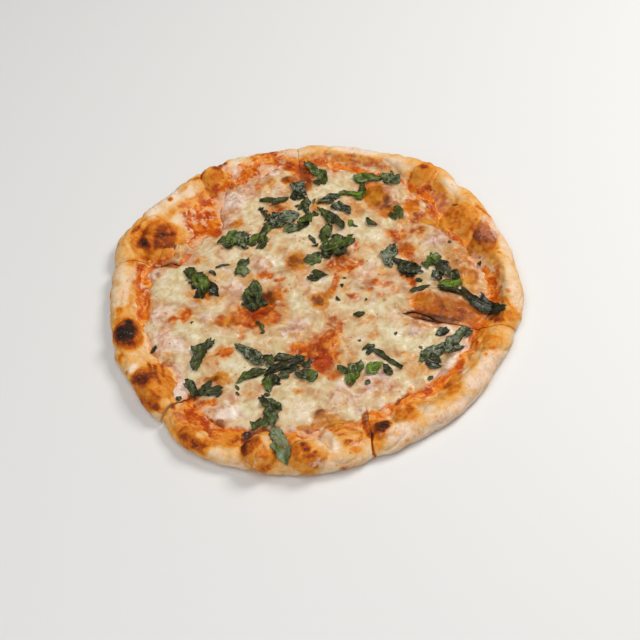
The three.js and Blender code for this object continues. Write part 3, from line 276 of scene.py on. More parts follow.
    ("b", .34, -99, -97, 7, 5, -30), ("b", .48, -92, -103, 5, 4, -40), ("b", .50, -84, -109, 9, 6, -40),
    ("b", .74, -88, -108, 3.6, 3, -35), ("b", .66, -82, -113, 3, 4, 0), ("b", .62, -77, -118, 3.6, 5, 25), ("b", .22, -78, -107, 4, 3, -30), ("b", .50, -70, -114, 6, 4, -10),
    ("b", .18, -66, -122, 10, 6, -15), ("orange", .9, -61, -108, 9, 5, 0), ("b", .50, -58, -111, 8, 4, 0),
    ("b", .20, -70, -104, 3, 5, 40),
    # the bubble at -41, -120: its dark upper-left edge is partly browning and partly painted shade of the dome's side
    ("b", .40, -42, -119, 11, 15, 0), ("orange", .55, -41, -123, 8, 9, 0), ("b", .28, -40, -115, 5, 6, 0), ("~b", .76, 2.4, -51, -122, -53, -113, -48, -106, -40, -105, -34, -109),
    ("~b", .36, 1.6, -50, -127, -47, -133, -41, -136, -35, -133, -33, -126), ("~b", .50, 1.4, -34, -110, -33, -118),
    ("b", .88, -50, -110, 3.6, 4, 0), ("b", .66, -47, -118, 2.0, 5, 0), ("b", .20, -39, -112, 4, 4, 0),
    ("orange", .5, -41, -121, 4, 6, 0), ("b", .50, -41.5, -122, 2, 2.6, 0), ("b", .44, -36.5, -123, 2, 2.6, 0),
    ("b", .34, -43, -131, 6, 3, 0), ("b", .38, -47, -126, 3, 4, 0), ("b", .42, -40, -133, 3.4, 1.8, 0),
    ("b", .34, -12, -119, 12, 14, 0), ("b", .20, -11, -111, 8, 5, 0), ("flour", .6, -11, -111, 7, 4, 0), ("flour", .6, -4, -133, 8, 4, 0), ("flour", .5, -24, -106, 4, 3, 0), ("b", .17, -4, -112, 7, 5, 0), ("~b", .52, 1.5, -23, -112, -24, -120, -20, -128, -12, -132, -4, -130), ("b", .62, -14.5, -121, 3.6, 3.6, 0),
    ("b", .76, -16, -118, 1.6, 1.8, 0), ("b", .78, -13.5, -122, 1.8, 1.8, 0), ("b", .50, -11, -128, 7, 4, 0), ("b", .72, -8, -124, 1.4, 1.4, 0), ("b", .70, -19, -124, 1.4, 1.2, 0),
    ("b", .52, -20, -120, 3, 5, 0), ("b", .66, -13, -126.5, 3.4, 1.8, 0), ("b", .50, -22, -112, 2, 4, 0),
    ("b", .40, 5, -109, 15, 7, 0), ("orange", .8, 8, -109, 11, 5, -10), ("b", .18, 17, -118, 6, 4, 0), ("flour", .8, 17, -118, 6, 4, 0), ("b", .56, 12, -117, 3.0, 1.4, 0),
    ("b", .03, 3, -121, 5, 4.4, 0), ("b", .15, -3, -114, 6, 5, 0), ("flour", .8, -3, -114, 6, 5, 0), ("b", .30, 20, -118, 5, 4, 0), ("b", .46, 17, -124, 4, 2.6, 0),
    ("b", .70, 9, -138, 3.4, 2.4, 0), ("b", .62, 18, -137, 4, 1.2, 12), ("b", .24, -30, -138, 8, 3, 0),
    ("~b", .36, 2.4, -32, -105, -20, -106, -8, -105, 4, -104, 16, -104), ("~b", .44, 1.2, -24, -107, -16, -107), ("b", .16, -6, -111, 9, 4, 0), ("flour", .9, -6, -112, 9, 4, 0), ("b", .62, -44, -114, 3, 5, 0),
    # bottom right
    ("~b", .62, 2.6, 23, -98, 24, -108, 26, -114), ("b", .80, 24.5, -103, 2.6, 6, 0), ("b", .54, 29, -106, 4, 6, 0),
    ("b", .86, 34, -108, 5.6, 3, 35), ("b", .35, 33, -117, 4, 4, 0), ("~b", .66, .9, 27, -112, 27, -122, 28, -130), ("b", .38, 31, -120, 3, 7, 0),
    ("b", .03, 45, -113, 6, 6, 0), ("b", .46, 48, -97, 8, 8, 0), ("orange", .6, 48, -97, 7, 7, 0),
    ("~b", .76, 1.6, 51, -86, 47, -88, 44, -92), ("b", .64, 53, -94, 3, 3.4, 0), ("b", .60, 51, -97, 1.5, 3, 0),
    ("flour", .7, 37, -98, 4, 5, 0), ("b", .36, 59, -93, 5, 4, 0), ("b", .34, 71, -90, 10, 5, 15), ("b", .11, 63, -97, 6, 4, 0),
    ("~orange", 1.0, 4.2, 62, -84, 74, -79, 84, -69, 90, -60, 97, -48, 101, -38, 104, -30), ("b", .60, 78, -78, 9, 3, 35),
    ("b", .46, 83, -75, 5, 3.4, 40), ("red", .9, 64, -84, 4, 3, 0), ("red", .9, 87, -64, 3, 5, -25),
    ("red", .7, 99, -46, 2.6, 5, -20), ("red", .6, 101, -37, 2.4, 4, 0), ("pink", .8, 92, -51, 3, 6, -30), ("b", .64, 73, -112, 2.2, 1.3, 30),
    ("b", .60, 78, -108, 1.8, 1.2, 30), ("b", .34, 69, -104, 3, 2.6, 0), ("b", .30, 60, -109, 3, 2, 0),
    ("b", .40, 57, -114, 1.8, 1.6, 0), ("b", .26, 80, -100, 3, 2, 0), ("b", .30, 79, -92, 7, 4, 37), ("b", .28, 88, -86, 3, 2, 40),
    ("b", .44, 108, -45, 7, 8, 0), ("b", .34, 110, -38, 5, 3, 0), ("b", .72, 104, -57, 1.5, 1.4, 0),
    ("flour", .9, 80, -104.5, 32, 10, 37), ("flour", 1.0, 110, -68, 12, 15, -30), ("flour", .8, 46, -114, 12, 8, 20), ("flour", .5, 13, -132, 14, 4, 0), ("flour", .45, -62, -128, 20, 5, -12),
    ("b", .14, 99, -67, 9, 11, -35),
    # right
    ("b", .64, 116, 46, 8.5, 12, 0), ("ash", .75, 117, 47, 7, 10, 0), ("b", .74, 110, 45, 3, 7, 0), ("~b", .54, 1.1, 113, 56, 114, 47),
    ("~b", .56, .9, 117, 54, 118, 44), ("b", .70, 120.5, 45, 3.4, 6, 0), ("b", .16, 124, 54, 3.6, 7, 20), ("flour", 1.0, 124.5, 50, 4, 10, 10), ("flour", .7, 118, 60, 4, 4, 0), ("b", .44, 117, 33, 7, 4.6, 0),
    ("b", .40, 118, 22, 4, 9, 0), ("pink", .8, 110, 23, 4, 7, 0), ("b", .20, 111, 23, 4, 7, 0), ("flour", 1.0, 111, 22, 4, 9, 0), ("~orange", 1.0, 4.6, 119, 14, 117, 2, 115, -12, 116, -20),
    ("~red", .55, 2.4, 117, 5, 116, -4, 114, -12), ("b", .15, 128, 2, 6, 20, 5), ("b", .14, 129, 31, 4, 9, 10), ("flour", .5, 130, 31, 4, 9, 10), ("b", .26, 123, 12, 2.4, 7, 0),
    ("flour", .6, 131, -12, 6, 18, 10), ("pink", .85, 112, 20, 4, 9, 0), ("b", .52, 125, -5, 2, 2, 0), ("~b", .44, .9, 121, -10, 126, -20, 130, -30),
    ("b", .46, 126, -26, 5, 6, 0), ("b", .62, 115, -28, 5, 4, 0), ("b", .34, 118, -34, 8, 3.6, -15), ("b", .20, 116, 67, 4, 7, 30),
    ("~b", .52, 1.2, 113, 73, 117, 69, 121, 62),
    ("b", .48, 94, 64, 20, 12, -8), ("orange", .75, 96, 62, 16, 10, -8), ("~orange", .75, 5, 68, 65, 78, 63, 88, 62), ("b", .56, 93, 65, 2, 4, 0),
    ("b", .60, 99, 66, 2.4, 4, 0), ("b", .80, 98, 75, 2, 1.0, 0),
    ("b", .42, 105, 63, 5, 7, 0), ("b", .42, 90, 60, 6, 4, 0), ("~b", .42, 3, 76, 62, 86, 57, 95, 52, 102, 45, 106, 37), ("~b", .26, 3, 109, 32, 110, 22), ("b", .56, 84, 68, 3, 4, 0),
    ("orange", .6, 94, 51, 4, 3, 0),
    # top right
    ("b", .29, 73, 104, 6, 10, 0), ("b", .68, 79, 114, 4, 2.4, 0), ("b", .36, 85, 102, 5, 5, 0),
    ("orange", 1.0, 80, 90, 12, 10, 0), ("amber", .35, 80, 88, 8, 7, 0), ("red", .35, 80, 92, 8, 7, 0), ("~orange", .95, 5, 84, 92, 84, 82, 83, 70), ("red", .8, 83, 92, 4.6, 4, 0), ("red", .5, 75, 90, 4, 3, 0),
    ("~b", .66, 1.0, 87, 86, 88, 83, 89, 81), ("b", .40, 88, 95, 5, 5, 0), ("b", .12, 75, 77, 2.2, 8, 0), ("orange", .95, 89, 78, 6, 9, 0),
    ("amber", .9, 68, 75, 5, 9, 0), ("b", .80, 70, 69, 1.8, 1.8, 0), ("b", .10, 97, 94, 6, 8, 40), ("flour", .5, 98, 89, 5, 5, 0),
    ("b", .44, 90, 92, 3, 6, 20), ("b", .30, 4, 139, 10, 3.4, 0), ("b", .44, 5, 131, 7, 2.6, 0),
    ("b", .56, 10, 134, 2, 2, 0), ("~b", .36, 6, -7, 126, 4, 129, 14, 129, 27, 128, 40, 123, 52, 118), ("~orange", .78, 5.2, -7, 125, 4, 128, 14, 128, 27, 127, 40, 122, 52, 117),
    ("~b", .26, .9, 12, 127, 14, 120), ("~b", .26, .8, 20, 128, 21, 121), ("~b", .26, .8, 35, 125, 35, 118),
    ("red", .7, 27, 129, 2.2, 2.0, 0), ("red", .5, 43, 121, 2.6, 2.0, -20), ("red", .6, 3, 126, 4, 3, 0),
    ("red", .6, 9, 124, 3, 3, 0), ("red", 1.0, -5, 113, 6.0, 14, 0), ("~brown", .55, 4.0, -6, 126, -6, 112, -5, 100), ("~shade", .4, 4.0, -6, 124, -6, 112, -5, 102),
    ("b", .03, 32, 135, 20, 4.0, -18), ("flour", 1.0, 32, 137, 22, 5, -18), ("b", .14, 60, 120, 12, 6, -25), ("flour", .6, 62, 118, 8, 5, -25), ("b", .24, 66, 116, 6, 4, -30),
    # single places, last
    # the pale spot and flour at -1, -115 are a painted highlight on the bubble
    ("white", .95, -92, -70, 5, 11, -8), ("pink", 1.0, 109, 21, 6, 9, 0), ("b", .10, -1, -115, 5, 4, 0), ("flour", .9, -1, -115, 5, 4, 0),
    ("amber", .6, 49, 71, 5, 4, 0), ("gold", .5, 60, 63, 4, 4, 0), ("white", .5, 23, 43, 4, 4, 0), ("pink", .7, -22, 132, 5, 3, 20),
    ("cream", .9, 46, -60, 4, 4, 0), ("orange", .7, 58, 14, 4, 5, 0), ("shade", .4, 57, 16, 4, 4, 0), ("amber", .7, -77, 6, 5, 5, 0),
    ("b", .15, -24, -106, 5, 3, 0), ("pink", .8, -24, -106, 5, 3, 0), ("flour", 1.0, 37, -98, 5, 5, 0), ("b", .18, 37, -98, 4, 4, 0),
    ("amber", .35, 27, -44, 3.4, 3.4, 0), ("pink", 1.0, -59, 121, 5, 4, -30), ("pink", .6, 51, 94, 4, 4, 0),
    # the brown and shade near 84, -3 and the shade stroke from 75, -62 to 86, -51 are painted shadow beside the leaves
    ("brown", .5, 84, -3, 6, 3, -20), ("shade", .5, 85, -2, 7, 4, -25), ("~shade", 1.0, 2.4, 75, -62, 80, -57, 86, -51), ("shade", .3, 86, -16, 9, 6, -20),
    ("shade", .4, 78, 5, 5, 5, 0), ("b", .06, -60, 122, 5, 4, -30), ("flour", 1.0, -60, 122, 6, 4, -30), ("b", .28, -101, -78, 4, 6, 0), ("b", .16, -92, -54, 4, 6, -10), ("white", .5, -93, -55, 4, 6, -10),
    ("shade", .45, 90, -6, 6, 3, -30), ("b", .20, 115, 14, 3, 5, 0), ("pink", .9, 115, 15, 3, 5, 0), ("shade", .4, 41, 60, 4, 3, 0), ("red", .7, -78, 89, 5, 5, 0),
    ("warm", .9, -59, 72, 4, 4, 0), ("white", .8, 90, -52, 3, 4, -30), ("amber", .6, 104, 10, 4, 5, 0), ("b", .46, -60, -114, 6, 4, 0), ("shade", .35, 73, 26, 4, 4, 0),
    ("pink", .9, -110, -11, 4, 6, 0), ("white", .5, -110, -10, 3, 6, 0), ("shade", .4, -78, -49, 5, 3, 0), ("shade", .4, -77, 28, 4, 4, 0), ("amber", .7, 50, 72, 4, 4, 0),
    ("b", .48, 81, -83, 6, 3, 40), ("amber", .4, -10, 21, 4, 4, 0), ("pink", .7, -108, 34, 4, 4, 0), ("warm", .8, 107, -2, 4, 5, 0), ("shade", .3, 107, -2, 4, 5, 0),
    # the pale spot at -1, -115 is a painted highlight
    ("b", .04, -1, -115, 5, 4, 0), ("amber", .6, 41, 99, 5, 3, 0), ("b", .30, 102, 48, 4, 5, 0), ("b", .26, -12, -110, 5, 3, 0), ("b", .56, 124, -27, 3, 4, 0), ("b", .68, 113, -27, 5, 4, 0),
    ("b", .26, -35, -116, 3, 5, 0), ("grey", .7, 35, -69, 5, 4, 0), ("brown", .4, 5, 117, 4, 4, 0), ("shade", .35, 52, -36, 4, 3, 0), ("shade", .35, 60, 25, 4, 4, 0), ("shade", .5, 82, -15, 7, 4, -20),
    ("b", .37, 74, 104, 6, 9, 0), ("flour", .7, -130, 10, 3, 8, 0), ("flour", 1.0, 95, -79, 6, 6, 37), ("b", .08, 95, -79, 5, 5, 0), ("b", .34, 95, -63, 3, 6, -30), ("warm", .7, 89, -31, 5, 2.6, -20),
    ("b", .50, -119, 65, 5, 3.4, 0), ("b", .52, 105, 63, 4, 6, 0), ("b", .54, -58, -112, 5, 4, 0), ("pink", .8, -60, -101, 5, 4, 0), ("b", .20, -60, -101, 5, 3, 0), ("shade", .35, 67, -42, 4, 3, 0),
    ("shade", .5, -120, 35, 3, 4, 0), ("brown", .4, -120, 35, 3, 3, 0), ("shade", .4, -36, 73, 3, 3, 0), ("flour", .8, 64, 116, 5, 4, -25), ("b", .14, 64, 116, 5, 3, -25), ("amber", .4, -25, 16, 4, 4, 0),
    ("shade", .4, 29, 103, 4, 3, 0), ("shade", .4, 5, 104, 4, 3, 0), ("shade", .4, -16, 94, 4, 4, 0), ("shade", .5, -31, 84, 5, 3, 0), ("shade", .35, 26, -45, 3, 3, 0), ("shade", .5, 5, 24, 4, 4, 0),
    ("pink", .7, -89, 37, 4, 4, 0), ("white", .35, -86, -42, 3, 3, 0), ("white", .4, -109, -24, 3, 6, 0), ("flour", .6, -110, -46, 3, 3, 0), ("amber", .9, 51, 73, 4, 4, 0), ("amber", .9, 102, 10, 4, 6, 0),
    ("pink", .7, -61, 74, 4, 4, 0), ("b", .14, -12, -110, 6, 3, 0), ("pink", .9, -12, -110, 6, 3, 0), ("white", .5, -59, 120, 4, 4, -30), ("shade", .9, 89, -6, 5, 3, -30), ("shade", .8, 78, 5, 4, 4, 0),
    ("brown", .45, 50, 74, 4, 5, 0), ("cream", .9, 71, 10, 4, 5, 0), ("shade", .5, 71, 9, 4, 5, 0), ("b", .30, -127, -46, 4, 5, 0), ("cream", .6, 1, -84, 5, 4, 0), ("shade", .7, 4, 104, 4, 3, 0),
    ("b", .34, -33, -128, 4, 3, 0), ("b", .32, 43, -113, 4, 3, 0), ("b", .86, 34, -108, 5.4, 4.2, 35), ("b", .28, 37, 125, 4, 2.2, -18), ("mauve", .6, -19, -26, 4, 3, 0), ("shade", .3, -19, -26, 4, 3, 0),
    ("warm", .6, -27, -10, 4, 4, 0), ("shade", .9, 77, -64, 4, 4, 0), ("white", .9, -59, 121, 5, 5, -30), ("brown", .45, 84, -15, 7, 4, -20), ("gold", .6, 103, 11, 4, 5, 0), ("shade", .3, 103, 11, 4, 5, 0),
    ("b", .62, -58, -112, 4, 3, 0), ("pink", .7, -109, -46, 4, 4, 0), ("b", .22, -109, -46, 3, 3, 0), ("pink", .8, -22, 127, 4, 3, 20), ("pink", .9, -59, 72, 4, 4, 0), ("cream", .4, -59, 72, 4, 4, 0),
]

# basil: x, y, length, width, direction, bend, curl, tone, grey (a painted grey sheen: the leaves' highlights), shreds
BASIL = [
    (5.5, 108.5, 21, 8, -74, 1.0, 1.2, .45, .35, 2), (-9.6, 94.0, 14, 9, -60, .5, 1.0, .15, .55, 2),
    (-25.4, 84.2, 17, 5, 5, .8, .8, .25, .5, 2), (-19.6, 66.3, 17, 11, 20, .5, 1.4, .3, .8, 2),
    (-5.6, 63.0, 12, 8, 60, .5, 1.0, .35, .3, 2), (-2.6, 77.8, 13, 6, 100, .8, 1.2, .4, .35, 2),
    (12.2, 83.0, 14, 5, 15, .5, .8, .2, .6, 2), (21.5, 75.0, 13, 7, -30, 1.0, 1.0, .2, .6, 2),
    (12.0, 63.8, 22, 6, -42, 1.0, 1.2, .35, .15, 2), (8.6, 51.0, 13, 7, 80, .5, 1.0, .3, .25, 2),
    (15.0, 39.3, 18, 12, 18, 0, 1.6, .38, .25, 2), (-53.0, 49.5, 18, 13, 5, .5, 1.6, .45, .5, 3),
    (-36.0, 50.5, 20, 6, 42, 2.0, 1.2, .4, .15, 2), (-49.2, 24.2, 13, 9, 70, 0, 1.0, .3, .5, 2),
    (-.4, 28.2, 11, 9, 30, 0, 1.2, .45, .45, 1), (-78.5, 15.0, 22, 8, -62, 1.0, 1.4, .45, .2, 3),
    (-42.2, -.8, 18, 12, 80, 0, 1.8, .35, .2, 2), (-75.0, -47.8, 25, 9.5, 66, 2.2, 1.4, .30, .3, 1),
    (-82.0, -73.5, 14, 6, -52, .5, 1.0, .3, .3, 1), (-70.6, -77.6, 13, 7, 14, .5, 1.2, .2, .25, 2),
    (-45.0, -50.0, 22, 8, -44, 1.0, 1.4, .2, .6, 1), (-44.5, -66.6, 17, 6, 8, .6, 1.0, .38, .25, 2),
    (-22.5, -60.4, 22, 6, 2, .8, 1.2, .15, .2, 2), (-31.5, -73.0, 12, 7, 68, .5, 1.0, .3, .2, 2),
    (-9.8, -68.8, 12, 8, -40, .5, 1.2, .36, .35, 2), (-32.4, -93.5, 19, 8, -76, .8, 1.2, .3, .5, 2),
    (-26.5, -121.0, 30, 9.6, -77, 0, .6, .66, 1.05, 1), (41.5, -58.2, 27, 3.1, -40, .6, .8, .22, .25, 1),
    (33.8, -65.5, 11, 8, 30, 0, 1.4, .65, .1, 1), (22.0, -69.8, 13, 8, 62, .5, 1.0, .4, .3, 2),
    (49.8, 29.2, 16, 10, 70, 0, 1.4, .25, .8, 1), (62.5, 15.0, 15, 10, -20, .5, 1.6, .15, .3, 2),
    (80.6, 23.4, 11, 8, 80, 0, 1.2, .56, .0, 1), (87.6, 11.5, 20, 9, -62, .5, 1.2, .12, .1, 2),
    (89.5, -.5, 13.5, 9.5, 8, 0, 1.2, .72, .0, 1), (106.2, -18.9, 29, 8, -45, .4, 1.0, .0, .0, 2),
    (84.0, -51.5, 34, 8, 38, 1.4, 1.4, .3, .6, 2), (40.4, 102.3, 15, 8, 12, .5, 1.4, .5, .35, 2),
    (56.2, 101.5, 14, 8, -35, .5, 1.2, .35, .6, 2), (30.0, 86.2, 17, 5, -5, .8, 1.0, .7, .1, 2),
    (59.8, 68.0, 14, 5, -78, .5, .8, .4, .1, 1)]

# small shreds and flecks: VIEW x, y, length, width, direction, tone, grey (painted sheen); the darkest bits beside the
# leaves at 84..90, -4..0 stand for the shadow under them
HERB_BITS = [
    (-36, 77, 6, 4, -60, .1, .5), (-38, 80, 4, 3, 20, .1, .4), (-34, 72, 5, 4, 70, .05, .3), (-34, 66, 6, 3, 40, .2, .6),
    (-31, 64, 4, 2.5, -30, .3, .4), (-1, 86, 4, 2, 70, .5, .3), (-13, 82, 3, 2, 10, .2, .2), (3, 84, 4, 1.6, 20, .1, .1),
    (-10, 80, 4, 3, 60, .3, .3), (0, 74, 5, 3, -40, .4, .3), (6, 73, 5, 3, 30, .5, .3), (5, 58, 6, 3, 60, .3, .3),
    (10, 60, 6, 3, -70, .2, .3), (12, 52, 5, 3, 10, .4, .4), (-4, 49, 8, 3, -60, .2, .5), (-1, 44, 5, 2.5, 30, .1, .6),
    (24, 63, 6, 3, -70, .8, .3), (27, 61, 4, 2, -40, .6, .2), (38, 63, 9, 5, -45, .15, .2), (23, 52, 4, 2, 0, .4, .4),
    (0, 17, 8, 6, -20, .25, .05), (15, 7, 3, 2, -70, .3, .3), (12, -4, 3.4, 2, -60, .2, .2), (17, 13, 2, 1.4, 0, .2, .2),
    (25, -18, 7.5, 4, -8, .3, .15), (30, -6, 2.4, 1.6, 50, .2, .3), (48, -36, 3, 2, 60, .4, .4), (24, -40, 1.8, 1.2, 0, .3, .4),
    (78, -37, 9, 4.6, 15, .1, .5), (67, -74, 3, 2, 30, .3, .4), (63, -49, 2.4, 1.6, -30, .4, .5), (40, -67, 5, 3, -60, .4, .3),
    (67, 1, 13, 3.6, 14, .2, .15), (67, 8, 5, 4, -30, .3, .4), (90, 41, 2.6, 2, 60, .2, .4), (109, 19, 3.4, 2.4, 70, .15, .1),
    (-110, -38.5, 5, 3, 60, .1, .5), (-92, -79.5, 4, 3, 60, .15, .4), (-56, -73, 4, 1.8, -60, .4, .3), (-55.5, -77, 3, 1.6, -40, .2, .2),
    (-40, -24, 6, 2.6, -70, .3, .2), (-42, -21, 3, 2, 10, .3, .3), (-39, -29, 3, 1.6, 60, .3, .2), (-85, -18, 2, 1.4, 70, .3, .3),
    (-66, 30, 8, 1.8, 14, .3, .5), (-62, 31, 3, 1.6, 20, .4, .3), (-87, 16, 3, 2, 0, .3, .3), (-70, 12, 4, 3, -50, .05, 0),
    (-45, 50, 7, 4, 10, .3, .2), (-50, 46, 5, 2.6, -20, .4, .4), (-48, 53, 4, 2, 60, .3, .2), (-38, -68, 5, 3, 30, .15, .2),
    (-30, -71, 4, 2, -40, .2, .1), (-35, -57, 5, 3, -30, .3, .5), (-43, -102, 9, 4, 25, .5, .3), (-47, -101, 4, 2, -60, .4, .3),
    (-42, -98, 4, 2, 40, .5, .4), (-41, -81, 4, 2, 20, .4, .5), (-37, -79, 4, 2.6, 0, .2, .3), (-53, -66, 4, 2, 30, .6, .3),
    (-16, -50, 4, 2, -40, .2, .1), (-10, -55, 4, 3, 70, .15, .1), (28, -47, 5, 3, 10, .2, .2), (27, -74, 4, 3, 60, .3, .3),
    (17, -70, 5, 4, -60, .2, .1), (11, -62, 4, 3, -50, .3, .2), (45, 105, 6, 2, -55, .6, .5), (48, 107, 6, 2, 50, .6, .6),
    (52, 106, 7, 2.4, 70, .5, .5), (56, 107, 5, 2, -70, .4, .5), (32, 104, 6, 4, -60, .5, .5), (35, 99, 5, 2, 60, .2, .3),
    (33, 89, 5, 3, 70, .4, .1), (20, 93, 5, 2, -20, .9, .1), (9, 108, 4, 3, 70, .1, .4), (0, 121, 5, 4, -60, .2, .3),
    (-14, 101, 4, 3, 60, .1, .6), (84, 18, 6, 5, -70, .1, .1), (82, 12, 5, 4, 60, .1, .1), (93, 3, 4, 3, -40, .5, .1),
    (64, -57, 6, 4, 20, .7, .1), (70, -60, 5, 3, 50, .2, .1), (-79, 8, 6, 5, 60, .15, .2), (-85, 12, 5, 3, -30, .1, .2),
    (-72, 24, 5, 3, -50, .2, .4), (-86, 27, 7, 3, -58, .25, .2), (30, -48, 7, 5, 20, .1, .3), (12, -63, 8, 5, -50, .25, .3),
    (22, -62, 9, 5, 70, .3, .6), (41, -65, 8, 5, -60, .2, .3), (17, -69, 8, 5, -55, .15, .3), (-36, -52, 9, 6, -40, .25, .5),
    (-27, -51, 10, 5, 8, .2, .3), (-45, -63, 10, 5, 15, .4, .3), (-27, -66, 8, 5, 20, .2, .4), (-12, -58, 7, 5, -30, .2, .3),
    (-17, -52, 8, 4, 0, .3, .2), (-36, -86, 5, 4, 60, .1, .2), (-38, -101, 7, 4, 20, .4, .7), (-38, -4, 8, 5, -60, .05, .0), (86, -2, 15, 6, -28, .05, .1), (68, -58, 13, 9, -35, .18, .2),
    (-72, 9, 10, 7, -62, .05, .0), (7, 37, 9, 7, 25, .1, .2), (79, 11, 9, 6, -72, .1, .5), (-22, -61, 13, 5, 6, .08, .1),
    (-18, 61, 9, 6, 8, .3, .6), (109, -12, 9, 6, -50, .0, .0), (-14, 91, 7, 5, -60, .1, .4), (-38, 47, 8, 5, 35, .3, .4),
    (33, 94, 9, 5, 80, .3, .2), (53, 24, 8, 5, -60, .1, .2), (62, 23, 8, 5, -30, .05, .1), (15, 38, 11, 6, 18, .15, .2), (71, -60, 7, 5, -35, .2, .3),
    (84, 0, 8, 5, -10, .05, .1), (75, 23, 7, 6, -70, .45, .2), (30, -46, 7, 4, 12, .2, .3), (-80, 6, 9, 7, -70, .1, .1),
    (61, 14, 8, 6, -40, .05, .1), (31, 88, 7, 5, -30, .5, .1), (95, -39, 8, 5, 50, .2, .4), (-4, 15, 8, 5, -20, .2, .1), (84, 3, 8, 7, 20, .66, .05),
    (70, -63, 8, 5, -20, .15, .3), (6, 34, 8, 5, 20, .1, .2), (3, 104, 6, 4, -60, .3, .3), (-75, -70, 8, 5, 30, .15, .2), (85, -3, 12, 5, -15, .1, .1),
    (74, -55, 8, 5, 42, .2, .6), (73, 21, 6, 5, -60, .35, .2), (55, 68, 7, 4, -70, .3, .2), (48, 23, 6, 4, -50, .2, .5), (90, -4, 9, 5, -25, .1, .1), (-10, 91, 8, 5, -35, .1, .4)]


# ------------------------------------------------------------------- noise ---
_GRAD = np.random.default_rng(7).normal(size=(4096, 3))
_GRAD /= np.linalg.norm(_GRAD, axis=1)[:, None]


def _hash(i, j, k, seed):
    h = (i * 73856093) ^ (j * 19349663) ^ (k * 83492791) ^ (seed * 2654435769)
    h = (h ^ (h >> 13)) * 1274126177
    return (h ^ (h >> 16)) & 4095


def perlin(x, y, z, seed):
    x, y, z = np.broadcast_arrays(np.asarray(x, float), np.asarray(y, float), np.asarray(z, float))
    xi, yi, zi = (np.floor(v).astype(np.int64) for v in (x, y, z))
    fx, fy, fz = x - xi, y - yi, z - zi
    u, v, w = (f * f * f * (f * (f * 6 - 15) + 10) for f in (fx, fy, fz))
    out = np.zeros_like(fx)
    for dx in (0, 1):
        for dy in (0, 1):
            for dz in (0, 1):
                g = _GRAD[_hash(xi + dx, yi + dy, zi + dz, seed)]
                dot = g[..., 0] * (fx - dx) + g[..., 1] * (fy - dy) + g[..., 2] * (fz - dz)
                out += dot * (u if dx else 1 - u) * (v if dy else 1 - v) * (w if dz else 1 - w)
    return out * 1.55


def noise(x, y, z, size, seed, octaves=1, gain=.5):
    out, amp, total = 0, 1.0, 0
    for o in range(octaves):
        f = 2 ** o / size
        out = out + amp * perlin(x * f + 13.7 * o, y * f - 7.1 * o, z * f, seed + 17 * o)
        total += amp
        amp *= gain
    return out / total


def cells(x, y, z, size, seed):
    """Distance to the nearest of one random point per cell, in cells."""
    x, y, z = x / size, y / size, z / size
    xi, yi, zi = (np.floor(v).astype(np.int64) for v in (x, y, z))
    best = np.full(x.shape, 9.0)
    for dx in (-1, 0, 1):
        for dy in (-1, 0, 1):
            for dz in (-1, 0, 1):
                i, j, k = xi + dx, yi + dy, zi + dz
                r = [_hash(i, j, k, seed + n) / 4096.0 for n in (1, 2, 3)]
                d = (i + r[0] - x) ** 2 + (j + r[1] - y) ** 2 + (k + r[2] - z) ** 2
                best = np.minimum(best, d)
    return np.sqrt(best)


def sstep(a, b, x):
    t = np.clip((x - a) / (b - a), 0, 1)
    return t * t * (3 - 2 * t)


def bell(d, reach):
    return np.exp(-(d * d) / (reach * reach))


def turn(d):
    return (d + 180) % 360 - 180


# ------------------------------------------------------------------ camera ---
EL, ROLL, FOCAL, DIST = math.radians(51.586), math.radians(-3.1316), 1363.2, .9
TARGET = (-.00100, -.01989)
BACK = np.array([0, -math.cos(EL), math.sin(EL)])
RIGHT0 = np.array([1.0, 0, 0])
UP0 = np.cross(RIGHT0, -BACK)
CAM_RIGHT = math.cos(ROLL) * RIGHT0 + math.sin(ROLL) * UP0
CAM_UP = -math.sin(ROLL) * RIGHT0 + math.cos(ROLL) * UP0
CAM_PLAN = np.array([TARGET[0], TARGET[1], 0]) + BACK * DIST      # metres, plate-centred
PLAN_TO_MODEL = (2.4, 1.4)


def to_view(x, y, z):
    """VIEW coordinates: where the camera sees a point, on the plane 2 mm up."""
    cx, cy, cz = CAM_PLAN * 1000
    px, py = x - PLAN_TO_MODEL[0], y - PLAN_TO_MODEL[1]
    t = (2 - cz) / (z - cz)
    return cx + (px - cx) * t, cy + (py - cy) * t


def from_view(X, Y, z):
    cx, cy, cz = CAM_PLAN * 1000
    t = (z - cz) / (2 - cz)
    return cx + (X - cx) * t + PLAN_TO_MODEL[0], cy + (Y - cy) * t + PLAN_TO_MODEL[1]


# ---------------------------------------------------------- shape of pizza ---
def outline_radius(th):
    r = MEAN_RADIUS + 0 * th
    for n, a, ph in OUTLINE_WAVES:
        r = r + a * np.cos(n * th - math.radians(ph))
    return r


def edge_distance(phi):
    rho = MEAN_RADIUS + 0 * phi
    for _ in range(5):
        x, y = CUT_CENTRE[0] + rho * np.cos(phi), CUT_CENTRE[1] + rho * np.sin(phi)
        rho = rho + outline_radius(np.arctan2(y, x)) - np.hypot(x, y)
    return rho


def swell(deg, item):
    return sum(s[item] * bell(turn(deg - s[0]), s[1]) for s in SWELLS)


def rim_height(deg):
    return RIM_HEIGHT + swell(deg, 2)


def rim_width(deg):
    return RIM_WIDTH + swell(deg, 3)


def topping_edge(deg, item):
    d = np.mod(deg, 360)
    degs = TOPPING_EDGE[:, 0]
    k = np.searchsorted(degs, d, side="right") - 1
    n = (k + 1) % len(degs)
    t = (1 - np.cos(np.pi * (d - degs[k]) / np.mod(degs[n] - degs[k], 360))) / 2
    return TOPPING_EDGE[k, item] + (TOPPING_EDGE[n, item] - TOPPING_EDGE[k, item]) * t


def foot_inset(deg):
    return np.maximum(np.maximum(rim_width(deg) + 1, topping_edge(deg, 2) + 4), FLAT_INSET)


